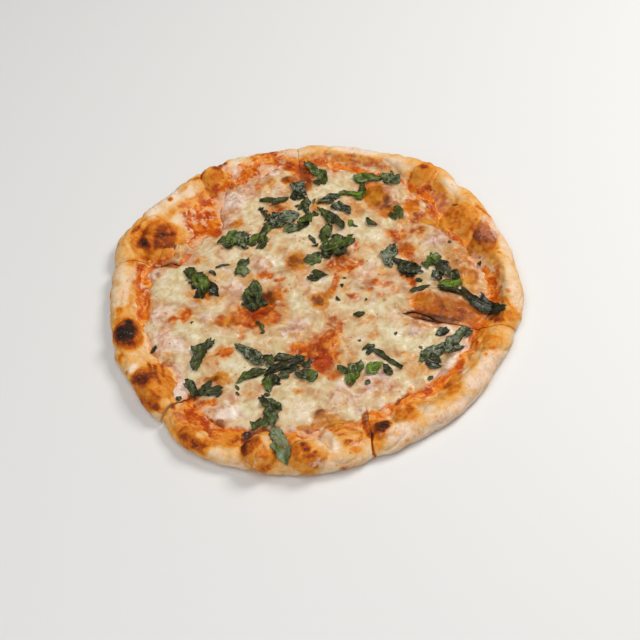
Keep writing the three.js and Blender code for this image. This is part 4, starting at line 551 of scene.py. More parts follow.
for _i, _c in enumerate(CUTS):
    _c["seed"] = 40 + _i
    _c["edge"] = float(edge_distance(np.array(math.radians(_c["rim"])))) - CORNER_ROUND
    _c["knee"] = _c["edge"] - float(foot_inset(np.array(_c["rim"])))
    _c.setdefault("bend", _c["knee"])


def cut_angle(c, rho):
    t = np.maximum(0, (rho - c["bend"]) / (c["edge"] - c["bend"]))
    wander = .35 * noise(rho, 0, 0, 13, c["seed"], 2) * sstep(6, 30, rho)
    return np.radians(c["inner"] + (c["rim"] - c["inner"]) * t) + wander / np.maximum(rho, 1)


def cut_gap(c, rho):
    g0, g1, g2 = c["gap"]
    return np.where(rho < c["knee"], g0 + (g1 - g0) * rho / c["knee"],
                    g1 + (g2 - g1) * (rho - c["knee"]) / (c["edge"] - c["knee"]))


def opened(c, rho):
    return sstep(c["open"] - c.get("soft", 7), c["open"] + c.get("soft", 7), rho)


class Slice:
    def __init__(self, k):
        self.k, self.A, self.B = k, CUTS[k], dict(CUTS[(k + 1) % 6])
        if k == 5:
            self.B["inner"] += 360
            self.B["rim"] += 360

    def columns(self, step, radius):
        """Column places from 0 to 1, closer together beside the cuts."""
        span = math.radians(self.B["rim"] - self.A["rim"]) * radius
        near = [0, .25, .6, 1.05]
        n = 4 * max(4, round((span - 2 * near[-1]) / step / 4)) + 1 - 2 * (len(near) - 1)
        mid = np.linspace(near[-1], span - near[-1], n)
        d = np.concatenate([near[:-1], mid, [span - v for v in near[:-1][::-1]]])
        return d / span

    def rim(self, u):
        deg = self.A["rim"] + (self.B["rim"] - self.A["rim"]) * u
        span = math.radians(self.B["rim"] - self.A["rim"]) * MEAN_RADIUS
        pinch = bell(u * span, CORNER_REACH) + bell((1 - u) * span, CORNER_REACH)
        return deg, pinch, edge_distance(np.radians(deg)) - CORNER_ROUND * pinch

    def place(self, u, rho, melted):
        """Plan position; melted cheese has closed the cuts near the middle."""
        r = np.maximum(rho, .02)
        gA, gB = cut_gap(self.A, r), cut_gap(self.B, r)
        lens = LENS["open"] * bell(r - LENS["rho"], LENS["reach"]) if self.k == 0 else 0 * r
        if melted:
            gA, lens, gB = gA * opened(self.A, r), lens * opened(self.A, r), gB * opened(self.B, r)
        a = cut_angle(self.A, r) + (gA + lens) / r
        b = cut_angle(self.B, r) - gB / r
        phi = a + (b - a) * u
        wide = (b - a) * r
        return CUT_CENTRE[0] + r * np.cos(phi), CUT_CENTRE[1] + r * np.sin(phi), phi, u * wide, (1 - u) * wide


def bubbles(x, y):
    """Height of the puffed bubbles, and how far and how much each bakes."""
    height, bake, cover, foot = 0 * x, 0 * x, 0 * x, 0 * x
    nx = x + 1.6 * noise(x, y, 0, 9, 61) + .7 * noise(x, y, 0, 4, 62)
    ny = y + 1.6 * noise(x, y, 0, 9, 63) + .7 * noise(x, y, 0, 4, 64)
    for bx, by, rt, rr, h, brown in BUBBLES:
        th = math.atan2(by, bx)
        dx, dy = nx - bx, ny - by
        q = ((dx * math.cos(th) + dy * math.sin(th)) / rr) ** 2 + ((-dx * math.sin(th) + dy * math.cos(th)) / rt) ** 2
        f = np.maximum(0, 1 - q)
        r = np.sqrt(q)
        height = height + h * f ** .80 - 1.25 * min(1, h / 5) * np.exp(-((r - 1.08) / .13) ** 2)
        foot = foot + min(1, h / 5) * np.exp(-((r - .93) / .13) ** 2)
        m = sstep(.12, .75, f) * .8
        bake = bake * (1 - m) + brown * m
        cover = cover * (1 - m) + m
    return height, bake, cover, np.minimum(foot, 1)


def ridge(x, y):
    (ax, ay), (bx, by) = RIDGE["a"], RIDGE["b"]
    ux, uy = bx - ax, by - ay
    t = np.clip(((x - ax) * ux + (y - ay) * uy) / (ux * ux + uy * uy), 0, 1)
    d = np.hypot(x - ax - t * ux, y - ay - t * uy)
    below = sstep(-2, 2, uy * (x - ax) - ux * (y - ay))        # on the side of the cut
    along = np.sin(np.pi * (.12 + .76 * t))
    return RIDGE["height"] * along * bell(d, RIDGE["far"] + (RIDGE["near"] - RIDGE["far"]) * below)


def dough_point(S, u, s, melted=False, lower=False, press=1.0):
    """A point of the dough's skin at column u and inset s, and its direction."""
    deg, pinch, rim = S.rim(u)
    rho = rim - s
    x, y, phi, dA, dB = S.place(u, rho, melted)
    h = rim_height(deg) - 1.2 * pinch
    w, zw = rim_width(deg), WAIST * h
    if not lower:
        cc = 1 - np.clip(s, 0, CREST_INSET) / CREST_INSET
        sn = np.sqrt(np.maximum(0, 1 - cc * cc))
        t = np.clip((s - CREST_INSET) / (w - CREST_INSET), 0, 1)
        z = np.where(s < CREST_INSET, zw + (h - zw) * sn, BASE_TOP + (h - BASE_TOP) * .5 * (1 + np.cos(np.pi * t)))
        slope = -(h - BASE_TOP) * .5 * np.pi / (w - CREST_INSET) * np.sin(np.pi * t)
        nr = np.where(s < CREST_INSET, (h - zw) * cc, slope)
        nz = np.where(s < CREST_INSET, CREST_INSET * sn, 1.0)
        fade = np.ones_like(x)
    else:
        cc = 1 - np.clip(s, 0, FOOT_INSET) / FOOT_INSET
        sn = np.sqrt(np.maximum(0, 1 - cc * cc))
        z = zw * (1 - sn)
        nr, nz = zw * cc + 1e-9, -FOOT_INSET * sn - 1e-9
        fade = sstep(FOOT_INSET, .3, s)
    norm = np.hypot(nr, nz)
    nr, nz = nr / norm, nz / norm
    rimness = sstep(w + 4, w - 9, s)
    # pillows and creases of the puffed rim, then finer lumps
    n1 = noise(x, y, z, 19, 3)
    crease = (1 - np.abs(noise(x, y, z * 1.6, 15, 5))) ** 7
    lumps = noise(x, y, z, 7, 8, 2)
    fine = noise(x, y, z, 2.6, 11, 2)
    D = rimness * (1.5 * n1 - 1.1 * crease + .60 * lumps + .18 * fine) + (1 - rimness) * (.30 * n1 + .12 * lumps)
    hb, bake, cover, foot = bubbles(x, y)
    D = D * (1 - .35 * cover) + cover * .18 * fine
    rg = ridge(x, y)
    # the knife pressed the edges of the cuts down
    pressed = S.A["press"] * np.exp(-dA / 1.3) * opened(S.A, rho) + S.B["press"] * np.exp(-dB / 1.3) * opened(S.B, rho)
    up = (hb + rg) * fade
    x = x + np.cos(phi) * (nr * D * fade + .35 * nr * up)
    y = y + np.sin(phi) * (nr * D * fade + .35 * nr * up)
    z = z + nz * D * fade + up * (.82 + .18 * nz) - press * pressed * fade * sstep(.5, 3, z)
    return dict(x=x, y=y, z=np.maximum(z, 0), phi=phi, nr=nr, nz=nz, deg=deg, s=s, rho=rho, rim=rim, h=h, w=w,
                bake=bake, cover=cover, foot=foot, up=up, dA=dA, dB=dB, rimness=rimness, pressed=pressed)


def spots(table, X, Y, soft=.38):
    out = 0 * X
    for x, y, r, h in table:
        d2 = ((X - x) ** 2 + (Y - y) ** 2) / (1.4 * r * r)
        out = out + 1.15 * h * np.maximum(0, 1 - d2) ** 1.3
    return out


def sauce_thickness(p):
    x, y = p["x"], p["y"]
    edge = topping_edge(p["deg"], 1)
    inside = p["s"] - edge + 2.6 * noise(x, y, 0, 11, 71) + 1.4 * noise(x, y, 0, 4.2, 72)
    chunks = .85 * np.maximum(0, .75 - cells(x, y, 0 * x, 6.4, 74)) + .12 * noise(x, y, 0, 2.8, 73)
    return np.clip(inside / 2.2, -1, 1) * .55 + chunks * sstep(0, 3, inside)


def cheese_thickness(p, X, Y, bare, sunk, glazed):
    x, y = p["x"], p["y"]
    edge = topping_edge(p["deg"], 2)
    inside = p["s"] - edge + 4.0 * noise(x, y, 0, 13, 81) + 2.4 * noise(x, y, 0, 5.5, 82) + .9 * noise(x, y, 0, 2.4, 80)
    t = CHEESE_MEAN + .50 * noise(x, y, 0, 20, 83) + .42 * noise(x, y, 0, 9, 84)
    for mx, my, r, hh in MOUNDS:
        t = t + hh * bell(np.hypot(x - mx, y - my), r * .7)
    wx, wy = x + 1.6 * noise(x, y, 0, 7, 85), y + 1.6 * noise(x, y, 0, 7, 86)
    d1, d2 = cells(wx, wy, 0 * x, 11.5, 87), cells(wx, wy, 0 * x, 5.2, 88)
    t = t + .90 * (.55 - d1) + .24 * (.55 - d2) + .06 * noise(x, y, 0, 2.4, 89)
    t = t + .55 * (1 - np.abs(noise(x, y, 0, 14, 93, 2))) ** 5
    t = t + spots(DOMES, X, Y)
    for h, r, line in FLAPS:
        t = t + h * bell(stroke_distance(list(zip(line[::2], line[1::2])), X, Y), r)
    # the pink, wet cheese has sunk between small lumps
    t = t + sunk * .42 * (.5 - cells(x, y, 0 * x, 5.2, 92))
    t = t * (1 - .85 * glazed) + .85 * glazed * (CHEESE_MEAN - .3 + .25 * noise(x, y, 0, 16, 94))
    t = t - bare * (.9 + .25 * noise(x, y, 0, 3, 90)) + bare * .55 * np.maximum(0, .7 - cells(x, y, 0 * x, 3.6, 91))
    rise = np.clip(inside / 9, 0, 1) ** .62
    return np.where(inside > 0, .12 + (t - .12) * rise, np.clip(inside / 2.0, -1, 0) * .9 + .12), inside


# ---------------------------------------------------------------- painting ---
KINDS = ["warm", "pink", "grey", "cream", "orange", "red", "amber", "gold", "brown", "white"]     # lowest first


def stroke_distance(pts, X, Y):
    best = np.full(X.shape, 1e9)
    for (ax, ay), (bx, by) in zip(pts[:-1], pts[1:]):
        ux, uy = bx - ax, by - ay
        t = np.clip(((X - ax) * ux + (Y - ay) * uy) / (ux * ux + uy * uy), 0, 1)
        best = np.minimum(best, (X - ax - t * ux) ** 2 + (Y - ay - t * uy) ** 2)
    return np.sqrt(best)


def paint(X, Y, seen, start, halo=False):
    """Spots and strokes one over the other; seen fades them on hidden sides,
    and halo tints the cheese round the sauce and the browned spots."""
    n1, n2 = noise(X, Y, 0, 9, 101), noise(X, Y, 0, 9, 102)
    m1, m2 = noise(X, Y, 0, 3.6, 103), noise(X, Y, 0, 3.6, 104)
    Xw, Yw = X + 1.5 * n1 + .8 * m1, Y + 1.5 * n2 + .8 * m2
    c = {k: start.get(k, 0 * X) + 0 * X for k in KINDS}
    bv, bm, dust_and_shade = 0 * X, 0 * X, dict(flour=0 * X, ash=0 * X, shade=0 * X, mauve=0 * X)
    for row in PAINT:
        kind, val = row[0], row[1]
        if kind[0] == "~":
            r, pts = row[2], list(zip(row[3::2], row[4::2]))
            xs, ys = [p[0] for p in pts], [p[1] for p in pts]
            w = r * (2.4 if halo else 1.4) + 5
            near = (X > min(xs) - w) & (X < max(xs) + w) & (Y > min(ys) - w) & (Y < max(ys) + w)
            if not near.any():
                continue
            d = stroke_distance(pts, Xw[near] * .5 + X[near] * .5, Yw[near] * .5 + Y[near] * .5) / r
            kind = kind[1:]
        else:
            _, _, x, y, rx, ry, ang = row
            if kind in ("brown", "gold"):
                rx, ry = 1.15 * rx, 1.15 * ry
            R = max(rx, ry) * (2.4 if halo else 1.5) + 3
            near = (np.abs(X - x) < R) & (np.abs(Y - y) < R)
            if not near.any():
                continue
            k = min(1.0, min(rx, ry) / 5)               # small spots wander less
            dx, dy = X[near] + k * (Xw[near] - X[near]) - x, Y[near] + k * (Yw[near] - Y[near]) - y
            ca, sa = math.cos(math.radians(ang)), math.sin(math.radians(ang))
            d = np.hypot((dx * ca + dy * sa) / rx, (-dx * sa + dy * ca) / ry)
        if halo and kind in ("orange", "red", "gold", "brown"):
            mh = sstep(2.1 if min(row[2] if row[0][0] == "~" else rx, 99) > 4 else 2.3, .75, d) * .85 * val
            for name in ("pink", "grey", "cream"):
                c[name][near] *= 1 - .60 * mh
            c["warm"][near] = np.maximum(c["warm"][near], mh)
        m = (sstep(1.48, .52, d) if kind in ("b", "flour", "ash") else sstep(1.7, .2, d) if kind in dust_and_shade else sstep(1.45, .45, d)) * seen[near]
        if kind == "b":
            bv[near] = bv[near] * (1 - m) + val * m
            bm[near] = bm[near] * (1 - m) + m
            for k in KINDS:
                c[k][near] *= 1 - .6 * m
        elif kind in dust_and_shade:
            dust_and_shade[kind][near] = np.maximum(dust_and_shade[kind][near], m * val)
        else:
            m = m * val
            for k in KINDS[KINDS.index(kind) + 1:]:
                c[k][near] *= 1 - m
            c[kind][near] = c[kind][near] * (1 - m) + m
            bv[near] *= 1 - m
            bm[near] *= 1 - m
    return c, bv, bm, dust_and_shade


# ------------------------------------------------------------------ meshes ---
def make_mesh(name, verts, faces, attrs, material, smooth=None):
    """verts in model millimetres, faces as rows of 3 or 4 numbers (-1 ends a
    triangle), attrs one number per vertex."""
    v = np.asarray(verts, float).reshape(-1, 3)
    v = (v + np.array([FRAME_SHIFT[0], FRAME_SHIFT[1], 0])) / 1000
    f = np.asarray(faces, np.int64)
    size = np.where(f[:, 3] < 0, 3, 4)
    a, b, c = v[f[:, 0]], v[f[:, 1]], v[f[:, 2]]
    vol = np.einsum("ij,ij->i", a, np.cross(b, c)).sum()
    q = f[:, 3] >= 0
    vol += np.einsum("ij,ij->i", a[q], np.cross(c[q], v[f[q, 3]])).sum()
    if vol < 0:
        g = f.copy()
        g[~q, 1], g[~q, 2] = f[~q, 2], f[~q, 1]
        g[q, 1], g[q, 3] = f[q, 3], f[q, 1]
        f = g
    me = bpy.data.meshes.new(name)
    me.vertices.add(len(v))
    me.vertices.foreach_set("co", v.astype(np.float32).ravel())
    loops = f[f >= 0]                                   # row by row
    me.loops.add(len(loops))
    me.loops.foreach_set("vertex_index", loops.astype(np.int32))
    me.polygons.add(len(f))
    me.polygons.foreach_set("loop_start", np.concatenate([[0], np.cumsum(size)[:-1]]).astype(np.int32))
    me.polygons.foreach_set("use_smooth", np.ones(len(f), bool))
    for key, val in attrs.items():
        at = me.attributes.new(key, "FLOAT", "POINT")
        at.data.foreach_set("value", np.asarray(val, np.float32).ravel())
    me.update(calc_edges=True)
    me.validate()
    me.materials.append(material)
    ob = bpy.data.objects.new(name, me)
    bpy.context.scene.collection.objects.link(ob)
    return ob


class Body:
    """Collects grids and strips of one closed piece."""

    def __init__(self, keys):
        self.keys, self.v, self.f, self.a, self.n = keys, [], [], {k: [] for k in keys}, 0

    def points(self, P, attrs):
        P = np.asarray(P, float)
        ids = self.n + np.arange(P[..., 0].size).reshape(P.shape[:-1])
        self.v.append(P.reshape(-1, 3))
        for k in self.keys:
            self.a[k].append(np.broadcast_to(np.asarray(attrs.get(k, 0.0), float), P.shape[:-1]).ravel())
        self.n += P[..., 0].size
        return ids

    def grid(self, ids, flip=False):
        a, b, c, d = ids[:-1, :-1], ids[1:, :-1], ids[1:, 1:], ids[:-1, 1:]
        q = np.stack([a, b, c, d], -1).reshape(-1, 4)
        self.f.append(q[:, ::-1] if flip else q)

    def strip(self, fine, coarse, flip=False):
        """Triangles between a fine line and one with every m-th of its points."""
        m = (len(fine) - 1) // (len(coarse) - 1)
        rows = []
        for k in range(len(coarse) - 1):
            for j in range(m):
                rows.append((coarse[k], fine[k * m + j], fine[k * m + j + 1], -1))
            rows.append((coarse[k], fine[(k + 1) * m], coarse[k + 1], -1))
        t = np.array(rows)
        if flip:
            t[:, [1, 2]] = t[:, [2, 1]]
        self.f.append(t)

    def build(self, name, material):
        verts, faces = np.concatenate(self.v), np.concatenate(self.f)
        return make_mesh(name, verts, faces, {k: np.concatenate(self.a[k]) for k in self.keys}, material)


def grid_normals(x, y, z):
    P = np.stack([x, y, z], -1)
    du = np.gradient(P, axis=1)
    dv = np.gradient(P, axis=0)
    n = np.cross(du, dv)
    n /= np.maximum(np.linalg.norm(n, axis=-1, keepdims=True), 1e-9)
    return n


def facing(x, y, z, outward_up=True):
    n = grid_normals(x, y, z)
    if np.mean(n[..., 2]) < 0:
        n = -n
    view = np.stack([CAM_PLAN[0] * 1000 + 2.4 - x, CAM_PLAN[1] * 1000 + 1.4 - y, CAM_PLAN[2] * 1000 - z], -1)
    view /= np.linalg.norm(view, axis=-1, keepdims=True)
    return (n * view).sum(-1), n


# ------------------------------------------------------------- materials -----
def lin(r, g, b):
    return tuple(((c / 255) / 12.92 if c / 255 <= .04045 else ((c / 255 + .055) / 1.055) ** 2.4) for c in (r, g, b)) + (1.0,)


class Nodes:
    def __init__(self, name):
        self.mat = bpy.data.materials.new(name)
        self.mat.use_nodes = True
        self.t = self.mat.node_tree
        self.t.nodes.clear()
        self.coord = self.t.nodes.new("ShaderNodeTexCoord").outputs["Object"]

    def new(self, kind, **props):
        n = self.t.nodes.new(kind)
        for k, v in props.items():
            setattr(n, k, v)
        return n

    def put(self, socket, value):
        if isinstance(value, bpy.types.NodeSocket):
            self.t.links.new(value, socket)
        else:
            socket.default_value = value

    def attr(self, name):
        return self.new("ShaderNodeAttribute", attribute_name=name).outputs["Fac"]

    def noise(self, size, detail=2.0, rough=.5, distortion=0.0, shift=0.0, stretch=None):
        m = self.new("ShaderNodeMapping")
        self.put(m.inputs["Vector"], self.coord)
        m.inputs["Location"].default_value = (shift, shift * .37, shift * .71)
        if stretch:
            m.inputs["Scale"].default_value = stretch
        n = self.new("ShaderNodeTexNoise")
        self.put(n.inputs["Vector"], m.outputs["Vector"])
        n.inputs["Scale"].default_value = 1000 / size
        n.inputs["Detail"].default_value = detail
        n.inputs["Roughness"].default_value = rough
        n.inputs["Distortion"].default_value = distortion
        return n.outputs["Fac"]

    def cells(self, size, shift=0.0, feature="F1", smooth=None):
        m = self.new("ShaderNodeMapping")
        self.put(m.inputs["Vector"], self.coord)
        m.inputs["Location"].default_value = (shift, shift * .37, shift * .71)
        n = self.new("ShaderNodeTexVoronoi", feature=feature)
        self.put(n.inputs["Vector"], m.outputs["Vector"])
        n.inputs["Scale"].default_value = 1000 / size
        return n.outputs["Distance"]

    def math(self, op, a, b=None, clamp=False):
        n = self.new("ShaderNodeMath", operation=op, use_clamp=clamp)
        self.put(n.inputs[0], a)
        if b is not None:
            self.put(n.inputs[1], b)
        return n.outputs[0]

    def step(self, value, lo, hi, out0=0.0, out1=1.0):
        n = self.new("ShaderNodeMapRange", interpolation_type="SMOOTHSTEP")
        self.put(n.inputs["Value"], value)
        n.inputs["From Min"].default_value, n.inputs["From Max"].default_value = lo, hi
        n.inputs["To Min"].default_value, n.inputs["To Max"].default_value = out0, out1
        return n.outputs["Result"]

    def line(self, value, lo, hi, out0=0.0, out1=1.0):
        n = self.new("ShaderNodeMapRange")
        self.put(n.inputs["Value"], value)
        n.inputs["From Min"].default_value, n.inputs["From Max"].default_value = lo, hi
        n.inputs["To Min"].default_value, n.inputs["To Max"].default_value = out0, out1
        return n.outputs["Result"]

    def mix(self, fac, a, b, blend="MIX"):
        n = self.new("ShaderNodeMix", data_type="RGBA", blend_type=blend)
        self.put(n.inputs[0], fac)
        self.put(n.inputs[6], a)
        self.put(n.inputs[7], b)
        return n.outputs[2]

    def ramp(self, fac, stops):
        n = self.new("ShaderNodeValToRGB")
        self.put(n.inputs["Fac"], fac)
        e = n.color_ramp.elements
        while len(e) > 1:
            e.remove(e[-1])
        e[0].position, e[0].color = stops[0][0], lin(*stops[0][1])
        for pos, col in stops[1:]:
            x = e.new(pos)
            x.color = lin(*col)
        return n.outputs["Color"]

    def bump(self, height, distance, strength=1.0, normal=None):
        n = self.new("ShaderNodeBump")
        n.inputs["Strength"].default_value = strength
        n.inputs["Distance"].default_value = distance
        self.put(n.inputs["Height"], height)
        if normal is not None:
            self.put(n.inputs["Normal"], normal)
        return n.outputs["Normal"]

    def finish(self, **inputs):
        p = self.new("ShaderNodeBsdfPrincipled")
        for k, v in inputs.items():
            self.put(p.inputs[k.replace("_", " ")], v)
        o = self.new("ShaderNodeOutputMaterial")
        self.t.links.new(p.outputs[0], o.inputs["Surface"])
        return self.mat


BAKE_RAMP = [(0.0, (238, 218, 195)), (.12, (231, 199, 160)), (.26, (228, 175, 106)), (.38, (222, 148, 54)),
             (.50, (210, 118, 22)), (.60, (184, 88, 12)), (.70, (144, 62, 15)), (.80, (102, 43, 16)),
             (.90, (58, 30, 18)), (1.0, (32, 20, 15))]


def dough_material():
    N = Nodes("dough_look")
    bake, oil, red, flour, cut = (N.attr(k) for k in ("bake", "oil", "red", "flour", "cut"))
    speck = N.noise(2.6, 3, .6, .4, .1)
    fine = N.noise(.9, 3, .6, 0, .7)
    broad = N.noise(9, 2, .5, .6, 1.3)
    # browning breaks up into specks where it is strong
    amount = N.math("MULTIPLY", N.math("SUBTRACT", speck, .5), N.line(bake, .05, .7, .22, .44))
    amount = N.math("ADD", amount, N.math("MULTIPLY", N.math("SUBTRACT", fine, .5), N.line(bake, .1, .8, .12, .26)))
    amount = N.math("ADD", amount, N.math("MULTIPLY", N.math("SUBTRACT", broad, .5), .34))
    col = N.ramp(N.math("ADD", bake, amount, True), BAKE_RAMP)
    # small freckles of the baked skin
    spot = N.cells(4.2, .9)
    freckle = N.math("MULTIPLY", N.step(spot, .26, .12), N.step(N.noise(7, 2, .5, 0, 2.2), .52, .66))
    freckle = N.math("MULTIPLY", freckle, N.line(bake, .0, .35, .35, .8))
    col = N.mix(freckle, col, lin(150, 84, 40))
    # sauce and oil soaked into the skin
    oil_n = N.math("ADD", oil, N.math("MULTIPLY", N.math("SUBTRACT", N.noise(5.2, 3, .5, .5, 3.1), .5), 2.0))
    oily = N.math("MULTIPLY", N.step(oil_n, .22, .80), N.step(bake, .80, .55))
    soak = N.ramp(N.noise(5.0, 3, .5, .5, 5.0), [(.36, (232, 160, 66)), (.45, (220, 124, 26)), (.54, (202, 92, 8)), (.66, (170, 64, 5))])
    col = N.mix(N.math("MULTIPLY", oily, .82), col, soak)
    red_n = N.math("ADD", red, N.math("MULTIPLY", N.math("SUBTRACT", N.noise(2.6, 3, .6, .4, 7.0), .5), 1.8))
    col = N.mix(N.math("MULTIPLY", N.step(red_n, .30, .80), .88), col,
                N.ramp(N.noise(2.0, 2, .5, 0, 8.0), [(.38, (190, 66, 16)), (.62, (138, 38, 6))]))
    # a greyed, mauve bloom on some of the browned skin
    col = N.mix(N.math("MULTIPLY", N.attr("ash"), N.step(N.noise(4, 3, .6, .6, 17.0), .36, .60)), col, lin(186, 128, 104))
    # flour left on the outside
    fl = N.math("MULTIPLY", N.step(N.math("ADD", flour, N.math("MULTIPLY", N.math("SUBTRACT", N.noise(3.2, 4, .7, .2, 9.0), .5), 2.6)), .25, .85), .62)
    col = N.mix(fl, col, lin(236, 206, 182))
    col = N.mix(N.math("MULTIPLY", N.math("MULTIPLY", fl, N.step(N.noise(2.2, 3, .65, .3, 18.0), .50, .66)), .75), col, lin(196, 136, 104))
    # open crumb on the cut sides
    crumb = N.ramp(N.noise(1.6, 4, .65, .3, 11.0), [(.32, (196, 150, 96)), (.5, (232, 200, 152)), (.7, (244, 222, 186))])
    col = N.mix(cut, col, crumb)
    h = N.math("ADD", N.math("MULTIPLY", N.noise(1.7, 4, .62, .2, 12.0), .9),
               N.math("MULTIPLY", N.noise(.5, 3, .6, 0, 13.0), .32))
    h = N.math("SUBTRACT", h, N.math("MULTIPLY", N.step(N.cells(2.2, 14.0), .42, .08), N.line(bake, .3, .8, .08, .55)))
    rough = N.math("SUBTRACT", N.line(N.noise(3, 2, .5, 0, 15.0), .3, .7, .55, .78), N.math("MULTIPLY", oily, .30))
    rough = N.math("ADD", rough, N.math("MULTIPLY", fl, .15), True)
    return N.finish(Base_Color=col, Roughness=rough, Normal=N.bump(h, .0005, .9), Specular_IOR_Level=.16)


def sauce_material():
    N = Nodes("tomato_sauce_look")
    red, pale, brown, gold = (N.attr(k) for k in ("red", "pale", "brown", "gold"))
    n1, n2, n3 = N.noise(8.0, 2.5, .5, .9, 21.0), N.noise(1.4, 3, .6, .2, 22.0), N.noise(8, 2, .5, .4, 23.0)
    mix = N.math("ADD", N.math("MULTIPLY", n1, .8), N.math("MULTIPLY", n2, .2))
    col = N.ramp(mix, [(.36, (232, 160, 78)), (.45, (222, 128, 36)), (.54, (204, 98, 12)), (.64, (176, 68, 5))])
    red_n = N.math("ADD", red, N.math("MULTIPLY", N.math("SUBTRACT", N.noise(2.8, 3, .6, .4, 24.0), .5), 2.0))
    col = N.mix(N.math("MULTIPLY", N.step(red_n, .28, .85), .85), col,
                N.ramp(n2, [(.38, (194, 72, 20)), (.62, (144, 42, 8))]))
    g = N.math("ADD", gold, N.math("MULTIPLY", N.math("SUBTRACT", n1, .5), 1.8))
    col = N.mix(N.math("MULTIPLY", N.step(g, .30, .85), .8), col, lin(212, 134, 40))
    p = N.math("ADD", pale, N.math("MULTIPLY", N.math("SUBTRACT", N.noise(4.2, 3, .55, .8, 25.0), .5), 2.2))
    col = N.mix(N.math("MULTIPLY", N.step(p, .38, .85), .85), col, lin(226, 178, 138))
    # white painted over the sauce: partly pale cheese, partly painted highlights
    m = N.math("ADD", N.attr("milk_and_highlight"), N.math("MULTIPLY", N.math("SUBTRACT", n2, .5), .9))
    col = N.mix(N.math("MULTIPLY", N.step(m, .30, .75), .85), col, lin(232, 208, 194))
    b = N.math("ADD", brown, N.math("MULTIPLY", N.math("SUBTRACT", n1, .5), 1.8))
    col = N.mix(N.math("MULTIPLY", N.step(b, .35, .85), .85), col, lin(112, 48, 20))
    col = N.mix(N.math("MULTIPLY", N.attr("char"), .92), col, lin(46, 26, 16))
    h = N.math("ADD", N.math("MULTIPLY", N.noise(5.5, 2, .45, .8, 26.0), 1.5), N.math("MULTIPLY", N.noise(.8, 2, .5, 0, 27.0), .05))
    rough = N.line(n1, .3, .7, .20, .38)
    return N.finish(Base_Color=col, Roughness=rough, Normal=N.bump(h, .0008, .9), Specular_IOR_Level=.15)


